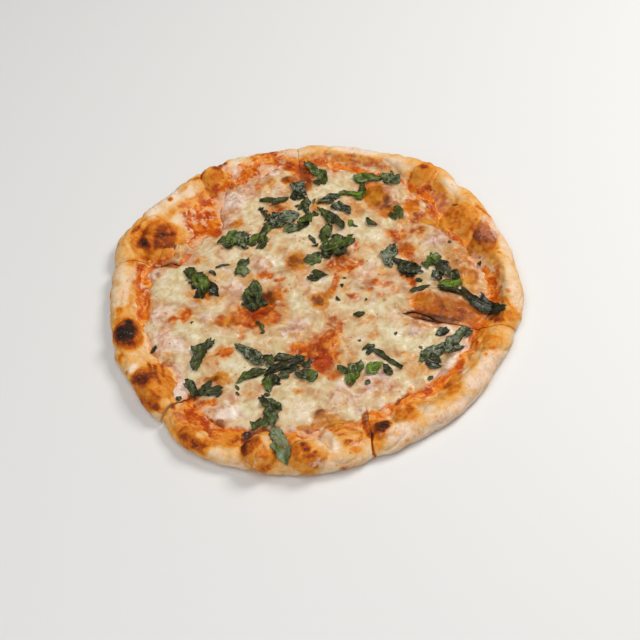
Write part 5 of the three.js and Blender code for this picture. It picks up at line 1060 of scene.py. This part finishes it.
def cheese_material():
    N = Nodes("melted_cheese_look")
    n12, n5, n2, n1 = (N.noise(13, 2, .5, .5, 31.0), N.noise(6.5, 2.4, .5, .7, 32.0),
                       N.noise(2.4, 2, .5, .6, 33.0), N.noise(.9, 2, .5, .2, 34.0))
    grain = N.math("ADD", N.math("MULTIPLY", n5, .84), N.math("MULTIPLY", n2, .16))
    col = N.ramp(N.math("ADD", N.math("MULTIPLY", n5, .50), N.math("MULTIPLY", n12, .50)), [(.38, (220, 202, 164)), (.46, (212, 186, 144)), (.54, (205, 168, 121)), (.62, (192, 146, 98))])

    def over(col, key, lo, hi, ramp, amp, size, shift, top=.92):
        nz = N.noise(size * 1.9, 2.5, .5, 1.0, shift)
        a = N.math("ADD", N.attr(key), N.math("MULTIPLY", N.math("SUBTRACT", nz, .5), amp * 2.2))
        f = N.math("MULTIPLY", N.step(a, lo, hi), top)
        return N.mix(f, col, N.ramp(grain, ramp)), f

    col, f_warm = over(col, "warm", .12, 1.0, [(.38, (222, 172, 104)), (.5, (211, 146, 74)), (.62, (192, 118, 48))], .8, 4.0, 35.0, .85)
    col, f_pink = over(col, "pink", .10, .92, [(.38, (230, 204, 186)), (.5, (215, 174, 148)), (.62, (188, 132, 100))], .8, 3.4, 36.0)
    col, f_grey = over(col, "grey", .22, .92, [(.36, (230, 216, 206)), (.5, (208, 182, 166)), (.64, (172, 132, 112))], .7, 3.0, 37.0)
    col, f_cream = over(col, "cream", .08, .95, [(.38, (225, 214, 183)), (.50, (214, 198, 157)), (.62, (203, 181, 132))], .7, 5.0, 38.0)
    col, f_or = over(col, "orange", .08, .86, [(.35, (222, 144, 62)), (.47, (202, 100, 20)), (.60, (156, 58, 5))], .8, 4.2, 39.0, .97)
    col, f_red = over(col, "red", .10, .90, [(.38, (190, 70, 16)), (.62, (134, 34, 6))], .7, 4.0, 40.0)
    col, f_amber = over(col, "amber", .06, .80, [(.36, (214, 132, 40)), (.50, (198, 106, 12)), (.64, (172, 80, 4))], .35, 5.0, 48.0, .97)
    col, f_gold = over(col, "gold", .06, .80, [(.38, (207, 136, 28)), (.62, (170, 87, 4))], .6, 3.0, 41.0)
    col, f_brown = over(col, "brown", .06, .86, [(.38, (156, 80, 4)), (.62, (98, 44, 0))], .5, 3.0, 42.0)
    # white: partly paler cheese, partly painted highlights (glints on the wet cheese)
    col, f_white = over(col, "white", .10, .95, [(.36, (244, 230, 212)), (.64, (230, 208, 186))], .6, 3.2, 49.0)
    # thin streaks of sauce through the cheese, and small brown flecks
    streak = N.noise(9, 2.5, .5, 1.4, 43.0)
    line = N.step(N.math("ABSOLUTE", N.math("SUBTRACT", streak, .5)), .045, .0)
    line = N.math("MULTIPLY", line, N.step(N.noise(13, 2, .5, 0, 44.0), .50, .62))
    col = N.mix(N.math("MULTIPLY", line, N.math("MULTIPLY", N.math("SUBTRACT", .36, N.math("MULTIPLY", f_cream, .24)), N.math("SUBTRACT", 1.0, f_amber))), col, lin(190, 104, 46))
    fleck = N.math("MULTIPLY", N.step(N.cells(5.2, 45.0), .17, .07), N.step(N.noise(16, 2, .5, 0, 46.0), .48, .56))
    col = N.mix(N.math("MULTIPLY", fleck, .8), col, lin(158, 82, 30))
    # darker in places: mostly painted shade beside the leaves and in the gap of the cut, partly a darker baked tint;
    # then a mauve tint
    soft = N.noise(5.0, 2.5, .5, .6, 60.0)
    col = N.mix(N.math("MULTIPLY", N.attr("shade"), N.line(soft, .35, .65, .5, 1.2)), col, (.50, .36, .22, 1), "MULTIPLY")
    col = N.mix(N.math("MULTIPLY", N.attr("mauve"), N.line(soft, .35, .65, .5, 1.2)), col, (.66, .50, .48, 1), "MULTIPLY")
    # the edges at the cuts are tinted sauce-brown: partly sauce stain, partly painted shade in the crack
    col = N.mix(N.math("MULTIPLY", N.attr("cut_stain_and_shade"), .8), col, lin(176, 92, 44))
    col = N.mix(N.math("MULTIPLY", N.attr("char"), .92), col, lin(46, 26, 16))
    h = N.math("ADD", N.math("MULTIPLY", N.noise(5.4, 2, .40, .8, 47.0), 1.05), N.math("MULTIPLY", n1, .06))
    h = N.math("MULTIPLY", h, N.math("SUBTRACT", 1.0, N.math("MULTIPLY", f_amber, .7)))
    wet = N.math("MAXIMUM", N.math("MAXIMUM", f_pink, f_grey), N.math("MAXIMUM", f_or, f_red))
    rough = N.math("ADD", N.math("SUBTRACT", N.line(n5, .3, .7, .22, .36), N.math("MULTIPLY", wet, .06)), N.math("MULTIPLY", f_amber, .16))
    return N.finish(Base_Color=col, Roughness=rough, Normal=N.bump(h, .0008, .9), Subsurface_Weight=.06,
                    Subsurface_Radius=(1.0, .6, .35), Subsurface_Scale=.0012, Specular_IOR_Level=.21)


def basil_material():
    N = Nodes("basil_look")
    tone, grey, mid, along, side = (N.attr(k) for k in ("tone", "grey", "mid", "along", "side"))
    n4, n1 = N.noise(4.5, 3, .6, .5, 51.0), N.noise(1.1, 3, .6, .2, 52.0)
    t = N.math("ADD", tone, N.math("MULTIPLY", N.math("SUBTRACT", n4, .5), .8))
    t = N.math("ADD", t, N.math("MULTIPLY", N.math("SUBTRACT", n1, .5), .25), True)
    col = N.ramp(t, [(0.0, (24, 22, 8)), (.25, (42, 41, 11)), (.5, (62, 68, 16)), (.75, (88, 108, 18)), (1.0, (114, 142, 28))])
    # grey: a painted grey sheen, the highlights of the glossy leaves
    g = N.step(N.math("ADD", grey, N.math("MULTIPLY", N.math("SUBTRACT", N.noise(2.2, 3, .6, .9, 53.0), .5), 2.6)), .45, 1.10)
    col = N.mix(N.math("MULTIPLY", g, .75), col, lin(132, 140, 118))
    # midrib and side veins
    rib = N.step(mid, .14, .03)
    wave = N.math("SINE", N.math("MULTIPLY", N.math("SUBTRACT", along, N.math("MULTIPLY", side, .55)), 2.6))
    vein = N.math("MULTIPLY", N.step(wave, .80, 1.0), .35)
    lightness = N.math("MAXIMUM", N.math("MULTIPLY", rib, .45), vein)
    col = N.mix(N.math("MULTIPLY", lightness, .32), col, lin(112, 130, 74))
    # cooked brown edges
    edge = N.math("MULTIPLY", N.step(mid, .78, 1.0), N.step(N.noise(5, 2, .5, 0, 54.0), .46, .62))
    col = N.mix(N.math("MULTIPLY", edge, .7), col, lin(44, 30, 18))
    h = N.math("SUBTRACT", N.math("MULTIPLY", n1, .18), N.math("MULTIPLY", vein, .8))
    return N.finish(Base_Color=col, Roughness=N.line(n4, .3, .7, .22, .48), Normal=N.bump(h, .0004, .9),
                    Specular_IOR_Level=.32)


MAT_DOUGH, MAT_SAUCE, MAT_CHEESE, MAT_BASIL = dough_material(), sauce_material(), cheese_material(), basil_material()

# ----------------------------------------------------------------- camera ----
cam_data = bpy.data.cameras.new("camera")
cam_data.sensor_width = 36
cam_data.lens = FOCAL / 640 * 36
cam = bpy.data.objects.new("camera", cam_data)
bpy.context.scene.collection.objects.link(cam)
from mathutils import Matrix, Vector
_loc = CAM_PLAN + np.array([PLAN_TO_MODEL[0] + FRAME_SHIFT[0], PLAN_TO_MODEL[1] + FRAME_SHIFT[1], 0]) / 1000
cam.matrix_world = Matrix([(CAM_RIGHT[i], CAM_UP[i], BACK[i], _loc[i]) for i in range(3)] + [(0, 0, 0, 1)])
cam_data.clip_start, cam_data.clip_end = .01, 50
bpy.context.scene.camera = cam


# ---------------------------------------------------------------- slices -----
def base_bake(p, seen_side):
    """Browning of bare dough: pale outside and below, tan on the crest."""
    x, y, z, s = p["x"], p["y"], p["z"], p["s"]
    crest = sstep(3, 10, z) * sstep(p["w"] + 6, 10, s)
    b = .10 + .17 * crest + .10 * noise(x, y, z, 21, 111) + .07 * noise(x, y, z, 8, 112, 2)
    # the lower edge caught the heat of the oven floor
    b = b + .16 * sstep(1.6, .2, z) * (.6 + .6 * noise(x, y, z, 9, 113))
    # scattered darker scorches, more of them on the crest
    sc = sstep(.38, .62, noise(x, y, z, 11, 114)) * sstep(4, 11, z)
    b = b + .42 * sc
    deg = np.mod(p["deg"], 360)
    for at, reach, add in ((122, 30, .04), (180, 18, -.05), (300, 35, -.05), (345, 25, -.03), (55, 26, .05), (214, 14, .06), (88, 22, -.08)):
        b = b + add * bell(turn(deg - at), reach)
    return b


MADE = {"top_points": []}


def build_dough(k):
    S = Slice(k)
    u = S.columns(.86, MEAN_RADIUS)
    _, _, rim = S.rim(u)
    s_rows = [CREST_INSET * (1 - math.cos(a)) for a in np.linspace(0, math.pi / 2, 19)]
    s_rows += list(np.arange(CREST_INSET + .8, 48.01, .8))
    inner = [.82, .62, .42, .22, .09]
    s = np.array([np.full(len(u), v) for v in s_rows] + [rim - (rim - 48) * f for f in inner] + [rim - 1.1])
    U = np.broadcast_to(u, s.shape)
    top = dough_point(S, U, s)
    low_rows = [0, .3, .8, 1.5, 2.4, 3.4, 4.4, FOOT_INSET, 7, 9, 12, 17, 24, 32, 40, 48]
    sl = np.array([np.full(len(u), v) for v in low_rows] + [rim - (rim - 48) * f for f in (.7, .4, .15)] + [rim - 1.1])
    low = dough_point(S, np.broadcast_to(u, sl.shape), sl, lower=True)
    x, y, z = top["x"], top["y"], top["z"]
    dot, nrm = facing(x, y, z)
    seen = sstep(-.05, .30, dot)
    X, Y = to_view(x, y, z)
    c, bv, bm, dust_and_shade = paint(X, Y, seen, {})
    b0 = base_bake(top, seen)
    b0 = b0 * (1 - top["cover"]) + top["bake"] + .08 * top["cover"] * noise(x, y, z, 5, 115)
    # the foot of each bubble is outlined in brown: partly browning, partly painted shade of the dome's sides
    bake = b0 * (1 - bm) + bv + top["foot"] * sstep(3, 7, z) * (.13 + .16 * noise(x, y, z, 8, 116))
    bake = bake * (1 - c["amber"]) + .47 * c["amber"]
    bake = bake * (1 - c["gold"]) + .42 * c["gold"]
    bake = bake * (1 - c["brown"]) + .74 * c["brown"]
    sauce_in = topping_edge(top["deg"], 1)
    near = sstep(sauce_in - 7, sauce_in + 1, s) * (.75 + .5 * noise(x, y, 0, 6, 116))
    oil = np.clip(np.maximum(c["orange"], near * (1 - .7 * bm)), 0, 1)
    red = np.clip(c["red"], 0, 1)
    pale = c["cream"] + c["pink"] + c["grey"]
    oil = oil * (1 - .5 * pale)
    outer = sstep(9.5, 4.5, z) * sstep(9, 4, s)
    fl = np.clip(np.maximum(dust_and_shade["flour"] * sstep(19, 9, s), outer * (.30 + .55 * noise(x, y, z, 14, 117))), 0, 1)
    # a little browner along the edges pressed by the knife: partly painted shade in the crack of the cut
    cutm = np.clip(top["pressed"] / .8, 0, 1)
    bake = bake + .10 * sstep(.3, 1, cutm)
    keys = ["bake", "oil", "red", "flour", "cut", "ash"]
    B = Body(keys)
    ids = B.points(np.stack([x, y, z], -1), dict(bake=bake, oil=oil, red=red, flour=fl, cut=0, ash=dust_and_shade["ash"]))
    B.grid(ids)
    lx, ly, lz = low["x"], low["y"], low["z"]
    under = .20 + .20 * noise(lx, ly, lz, 16, 118) + .55 * sstep(.25, .6, noise(lx, ly, lz, 9, 119, 2))
    blend = sstep(1.5, 6, sl)
    lb = bake[0] * (1 - blend) + under * blend
    lfl = fl[0] * (1 - blend) + .5 * blend * np.clip(.5 + noise(lx, ly, lz, 12, 120), 0, 1)
    idl = B.points(np.stack([lx, ly, lz], -1), dict(bake=lb, oil=0, red=0, flour=lfl, cut=0))
    B.grid(idl, True)
    B.f.append(np.stack([ids[-1, :-1], ids[-1, 1:], idl[-1, 1:], idl[-1, :-1]], -1)[:, ::-1])
    # the cut sides; where the top edge is painted very dark (burnt crust, and the painted shadow of the open gap by the
    # opened bubble) they keep that darkness instead of the crumb
    for col, flip in ((0, False), (-1, True)):
        hi = np.stack([x[:, col], y[:, col], z[:, col]], -1)
        edge = dough_point(S, U[:, [0, col]], s[:, [0, col]], lower=True)
        lo = np.stack([edge[c][:, 1] for c in ("x", "y", "z")], -1)
        T = np.linspace(0, 1, 4)[None, :, None]
        side = hi[:, None, :] * (1 - T) + lo[:, None, :] * T
        t1 = np.linspace(0, 1, 4)[None, :]
        skin = sstep(.30, .0, t1) * .8 + .3 * sstep(.75, 1, t1)
        wall = np.where(bake[:, col] > .75, bake[:, col], bake[:, col] * .5 + .25)
        cut_ids = B.points(side, dict(bake=wall[:, None] + 0 * t1, oil=oil[:, col][:, None] * sstep(.4, 0, t1), cut=(1 - skin * .8) * sstep(.85, .55, bake[:, col][:, None])))
        B.grid(cut_ids, flip)
    ob = B.build(f"dough_{k + 1}_look", MAT_DOUGH)
    MADE["top_points"].append(np.stack([x, y, z], -1).reshape(-1, 3))
    return ob


def build_sauce(k):
    S = Slice(k)
    u = S.columns(.86, MEAN_RADIUS)
    deg, _, rim = S.rim(u)
    first, last = topping_edge(deg, 1) - 5, topping_edge(deg, 2) + 7
    fine = np.linspace(0, 1, 45)[:, None]
    s = np.concatenate([first + (last - first) * fine, [last + (rim - last - 1.2) * f for f in (.2, .5, .8, 1.0)]])
    U = np.broadcast_to(u, s.shape)
    p = dough_point(S, U, s)
    x, y, z = p["x"], p["y"], p["z"]
    t = sauce_thickness(p)
    X, Y = to_view(x, y, z)
    seen = np.ones_like(x)
    start = dict(orange=np.full(x.shape, 1.0))
    c, bv, bm, dust_and_shade = paint(X, Y, seen, start)
    v = bv / np.maximum(bm, 1e-6)
    brown = np.clip(c["brown"] + bm * sstep(.50, .72, v), 0, 1)
    gold = np.clip(c["gold"] + .8 * c["amber"] + bm * sstep(.28, .40, v) * sstep(.66, .5, v), 0, 1)
    pale = np.clip(c["cream"] + c["white"] + .8 * c["pink"] + .6 * c["warm"] + bm * sstep(.28, .12, v), 0, 1)
    red = np.clip(c["red"] + .35 * np.clip(noise(x, y, 0, 7, 131), 0, 1), 0, 1)
    ax, az = p["nr"] * t, p["nz"] * t
    char = bm * sstep(.76, .90, v)
    B = Body(["red", "pale", "brown", "gold", "char", "milk_and_highlight"])
    ids = B.points(np.stack([x + np.cos(p["phi"]) * ax, y + np.sin(p["phi"]) * ax, z + az], -1), dict(red=red, pale=pale, brown=brown, gold=gold, char=char, milk_and_highlight=c["white"]))
    B.grid(ids)
    base = np.minimum(t, 0) - .5
    bx, bz = p["nr"] * base, p["nz"] * base
    Q = np.stack([x + np.cos(p["phi"]) * bx, y + np.sin(p["phi"]) * bx, z + bz], -1)
    idl = B.points(Q[::4, ::4], dict(red=red[::4, ::4], char=char[::4, ::4]))
    B.grid(idl, True)
    for fine_line, coarse, flip in ((ids[:, 0], idl[:, 0], False), (ids[:, -1], idl[:, -1], True), (ids[0], idl[0], True), (ids[-1], idl[-1], False)):
        B.strip(fine_line, coarse, flip)
    ob = B.build(f"sauce_{k + 1}_look", MAT_SAUCE)
    MADE["top_points"].append(np.stack([x, y, z + az], -1).reshape(-1, 3))
    return ob


def build_cheese(k):
    S = Slice(k)
    u = S.columns(.84, MEAN_RADIUS - 20)
    deg, _, rim = S.rim(u)
    outer = rim - (topping_edge(deg, 2) - 7)
    f = np.linspace(1, .0004, 165)[:, None]
    s = rim - outer * f
    U = np.broadcast_to(u, s.shape)
    p = dough_point(S, U, s, melted=True)
    x, y, z = p["x"], p["y"], p["z"]
    under = np.maximum(sauce_thickness(p), 0)
    X, Y = to_view(x, y, z + 3)
    n15, n7 = noise(X, Y, 0, 15, 141), noise(X, Y, 0, 7, 142)
    start = dict(cream=.75 * sstep(-.05, .45, n15), pink=.70 * sstep(.0, .5, -n15) * sstep(-.3, .3, n7),
                 warm=.45 * sstep(-.05, .45, noise(X, Y, 0, 12, 143)), grey=.65 * sstep(.12, .5, noise(X, Y, 0, 10, 145)))
    c, bv, bm, dust_and_shade = paint(X, Y, np.ones_like(x), start, True)
    v = bv / np.maximum(bm, 1e-6)
    c["brown"] = np.clip(c["brown"] + bm * sstep(.50, .72, v), 0, 1)
    c["gold"] = np.clip(c["gold"] + bm * sstep(.28, .40, v) * sstep(.66, .5, v), 0, 1)
    bare = np.clip(c["orange"] + c["red"], 0, 1)
    t, inside = cheese_thickness(p, X, Y, bare, c["pink"] + c["grey"], c["amber"])
    # a little orange where the cheese thins out over the sauce
    thin = sstep(3.2, .3, inside) * (.60 + .6 * noise(x, y, 0, 4, 144))
    c["orange"] = np.clip(np.maximum(c["orange"], thin * (1 - .5 * c["cream"]) * (1 - .6 * np.maximum(c["pink"], c["grey"]))), 0, 1)
    near_cut = np.exp(-p["dA"] / .7) * opened(S.A, p["rho"]) + np.exp(-p["dB"] / .7) * opened(S.B, p["rho"])
    lift = under + t
    P = np.stack([x + np.cos(p["phi"]) * p["nr"] * lift, y + np.sin(p["phi"]) * p["nr"] * lift, z + p["nz"] * lift], -1)
    keys = KINDS + ["cut_stain_and_shade", "char", "shade", "mauve"]
    attrs = {key: c[key] for key in KINDS}
    attrs["cut_stain_and_shade"] = np.clip(near_cut, 0, 1)
    attrs["char"] = bm * sstep(.76, .90, v)
    attrs["shade"], attrs["mauve"] = dust_and_shade["shade"], dust_and_shade["mauve"]
    B = Body(keys)
    ids = B.points(P, attrs)
    B.grid(ids)
    m = 4
    low = np.minimum(lift, under) - .45
    Q = np.stack([x + np.cos(p["phi"]) * p["nr"] * low, y + np.sin(p["phi"]) * p["nr"] * low, z + p["nz"] * low], -1)[::m, ::m]
    sub = {key: attrs[key][::m, ::m] for key in keys}
    idl = B.points(Q, sub)
    B.grid(idl, True)
    for line, coarse, flip in (((slice(None), 0), (slice(None), 0), False), ((slice(None), -1), (slice(None), -1), True),
                               ((0, slice(None)), (0, slice(None)), True), ((-1, slice(None)), (-1, slice(None)), False)):
        edge = {key: np.maximum(attrs[key][line], .0) for key in keys}
        a = B.points(P[line], edge)
        b = B.points(Q[coarse], {key: sub[key][coarse] for key in keys})
        B.strip(a, b, flip)
    ob = B.build(f"cheese_{k + 1}_look", MAT_CHEESE)
    MADE["top_points"].append(P.reshape(-1, 3))
    return ob


for k in range(6):
    for build, node, slot in ((build_dough, "dough", "dough"), (build_sauce, "sauce", "tomato_sauce"), (build_cheese, "cheese", "melted_cheese")):
        ob = build(k)
        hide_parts(f"{node}_{k + 1}")
        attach(ob, "root")

# ------------------------------------------------------ height for the herbs --
CELL, HALF = .8, 152
_n = int(2 * HALF / CELL) + 1
_top = np.zeros((_n, _n))
for pts in MADE["top_points"]:
    ix = np.clip(np.round((pts[:, 0] + HALF) / CELL).astype(int), 0, _n - 1)
    iy = np.clip(np.round((pts[:, 1] + HALF) / CELL).astype(int), 0, _n - 1)
    np.maximum.at(_top, (iy, ix), pts[:, 2])


def grow(a):
    out = a.copy()
    for dy in (-1, 0, 1):
        for dx in (-1, 0, 1):
            out = np.maximum(out, np.roll(np.roll(a, dy, 0), dx, 1))
    return out


def soften(a):
    return (a * 2 + np.roll(a, 1, 0) + np.roll(a, -1, 0) + np.roll(a, 1, 1) + np.roll(a, -1, 1)) / 6


_env = soften(soften(grow(_top)))


def height(x, y):
    gx, gy = (np.asarray(x) + HALF) / CELL, (np.asarray(y) + HALF) / CELL
    i, j = np.clip(np.floor(gx).astype(int), 0, _n - 2), np.clip(np.floor(gy).astype(int), 0, _n - 2)
    fx, fy = gx - i, gy - j
    return (_env[j, i] * (1 - fx) * (1 - fy) + _env[j, i + 1] * fx * (1 - fy)
            + _env[j + 1, i] * (1 - fx) * fy + _env[j + 1, i + 1] * fx * fy)


LEAF_KEYS = ["tone", "grey", "mid", "along", "side"]


def shred(B, cx, cy, L, W, deg, bend, curl, tone, grey, rng, lift=.25, thick=.30, step=.52):
    """One torn or sliced piece of leaf, crumpled over what is under it."""
    nu, nv = max(8, int(L / step)), max(5, int(W / step)) | 1
    t, v = np.meshgrid(np.linspace(0, 1, nu), np.linspace(-1, 1, nv), indexing="ij")
    seed = int(rng.integers(1, 99999))
    body = np.sin(np.pi * (.04 + .92 * t)) ** rng.uniform(.25, .6)

    def side_line(k):
        return 1 + .42 * perlin(t * L / 4.2, k * 9.13, .5, seed) + .20 * perlin(t * L / 1.8, k * 5.31, 3.7, seed)

    w = (v + 1) / 2
    half = W / 2 * body * 1.12 * (side_line(1) * w + side_line(2) * (1 - w))
    along = (t - .5) * (L + .9 * np.minimum(W, 6) * perlin(v * W / 4.4, 7.7, .5, seed + 3)) + v * W * .2 * rng.uniform(-1, 1) * (2 * t - 1)
    middle = bend * 1.5 * np.sin(np.pi * t) + .9 * perlin(t * L / 7, 3.1, .5, seed + 4)
    side = middle + half * v
    # crumples: sharp ridges with valleys between
    n = perlin(along / 6.2, side / 4.4, .5, seed + 5)
    fold = 1 - 2.4 * np.abs(n)
    n2 = perlin(along / 3.0, side / 2.6, 2.5, seed + 6)
    along = along + .5 * n2
    side = side * (1 - .06 * curl) + .5 * perlin(along / 3, side / 3, 4.5, seed + 7)
    th = math.radians(deg)
    x = cx + along * math.cos(th) - side * math.sin(th)
    y = cy + along * math.sin(th) + side * math.cos(th)
    size = min(1.0, W / 7)
    up = .75 * curl * size * np.clip(fold, -.6, 1) + .24 * size * n2
    mode = rng.integers(0, 3)
    wave = .5 + .5 * np.sin(rng.uniform(1.5, 4) * np.pi * t + rng.uniform(0, 6))
    if mode == 0:
        up = up + curl * (.9 * v * v * wave)
    elif mode == 1:
        up = up + curl * (.7 * (1 - v * v) * (.4 + .6 * wave))
    else:
        up = up + curl * 1.0 * np.clip(v * rng.choice([-1, 1]), 0, 1) ** 1.4 * (.4 + .6 * wave)
    z = height(x, y) + lift + np.maximum(up + .35 * size, 0)
    nrm = grid_normals(x, y, z)
    if nrm[..., 2].mean() < 0:
        nrm = -nrm
    P = np.stack([x, y, z], -1)
    # the crests of the crumples are painted lighter and greyer: painted highlights on the ridges
    a = dict(tone=tone + .20 * fold + .10 * n2, grey=grey * (.70 + .6 * np.clip(fold, 0, 1)), mid=np.abs(v), along=along, side=np.abs(v) * W / 2)
    ids = B.points(P + nrm * thick / 2, a)
    idl = B.points(P - nrm * thick / 2, a)
    B.grid(ids)
    B.grid(idl, True)
    for p, q, flip in ((ids[0], idl[0], False), (ids[-1], idl[-1], True), (ids[:, 0], idl[:, 0], True), (ids[:, -1], idl[:, -1], False)):
        B.grid(np.stack([p, q], 0), flip)


for i, (cx, cy, L, W, deg, bend, curl, tone, grey, count) in enumerate(BASIL):
    rng = np.random.default_rng(900 + i)
    B = Body(LEAF_KEYS)
    if count == 1:
        shred(B, cx, cy, L, W, deg, bend, curl, tone, grey, rng)
    else:
        for j in range(count):
            off = (j / (count - 1) - .5) if count > 1 else 0
            th = math.radians(deg)
            du, dv = off * L * .40 + rng.uniform(-.04, .04) * L, rng.uniform(-.22, .22) * W
            shred(B, cx + du * math.cos(th) - dv * math.sin(th), cy + du * math.sin(th) + dv * math.cos(th),
                  L * rng.uniform(.68, .88), W * rng.uniform(.80, 1.10), deg + rng.uniform(-30, 30), bend, curl,
                  np.clip(tone + rng.uniform(-.16, .16), 0, 1), np.clip(grey + rng.uniform(-.2, .2), 0, 1), rng, lift=.22 + .4 * j)
    ob = B.build(f"basil_{i + 1:02d}_look", MAT_BASIL)
    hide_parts(f"basil_{i + 1:02d}")
    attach(ob, "root")

B = Body(LEAF_KEYS)
rng = np.random.default_rng(77)
for X, Y, L, W, deg, tone, grey in HERB_BITS:
    x, y = from_view(X, Y, 7.0)
    x, y = from_view(X, Y, float(height(x, y)))
    shred(B, x, y, L, W, deg, rng.uniform(-.6, .6), min(1.1, .22 * W), tone, grey, rng, lift=.12, thick=.28, step=.6)
ob = B.build("herb_bits", MAT_BASIL)
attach(ob, "root")

# ----------------------------------------------------------- studio ----------
bpy.ops.mesh.primitive_plane_add(size=12, location=(0, 0, -.00005))
floor = bpy.context.object
floor.name = "floor"
NF = Nodes("floor_look")
floor.data.materials.append(NF.finish(Base_Color=lin(226, 225, 223), Roughness=.55))

world = bpy.data.worlds.new("studio")
bpy.context.scene.world = world
world.use_nodes = True
bg = world.node_tree.nodes["Background"]
bg.inputs["Color"].default_value = (.97, .98, 1.0, 1)
bg.inputs["Strength"].default_value = .20


def area(name, azimuth, elevation, distance, size, power, colour=(1, 1, 1)):
    data = bpy.data.lights.new(name, "AREA")
    data.shape, data.size, data.energy, data.color = "SQUARE", size, power, colour
    ob = bpy.data.objects.new(name, data)
    a, e = math.radians(azimuth), math.radians(elevation)
    ob.location = Vector((math.cos(a) * math.cos(e), math.sin(a) * math.cos(e), math.sin(e))) * distance
    ob.rotation_mode = "QUATERNION"
    ob.rotation_quaternion = ob.location.to_track_quat("Z", "Y")
    bpy.context.scene.collection.objects.link(ob)


area("key", 32, 50, 1.3, .50, 11.0, (1, .985, .96))
area("overhead", 235, 74, 1.4, 1.0, 7.0, (1, 1, 1))
area("front", 250, 42, 1.5, 1.2, 4.5, (1, 1, 1))

bpy.context.scene.view_settings.view_transform = "Standard"
bpy.context.scene.view_settings.look = "None"
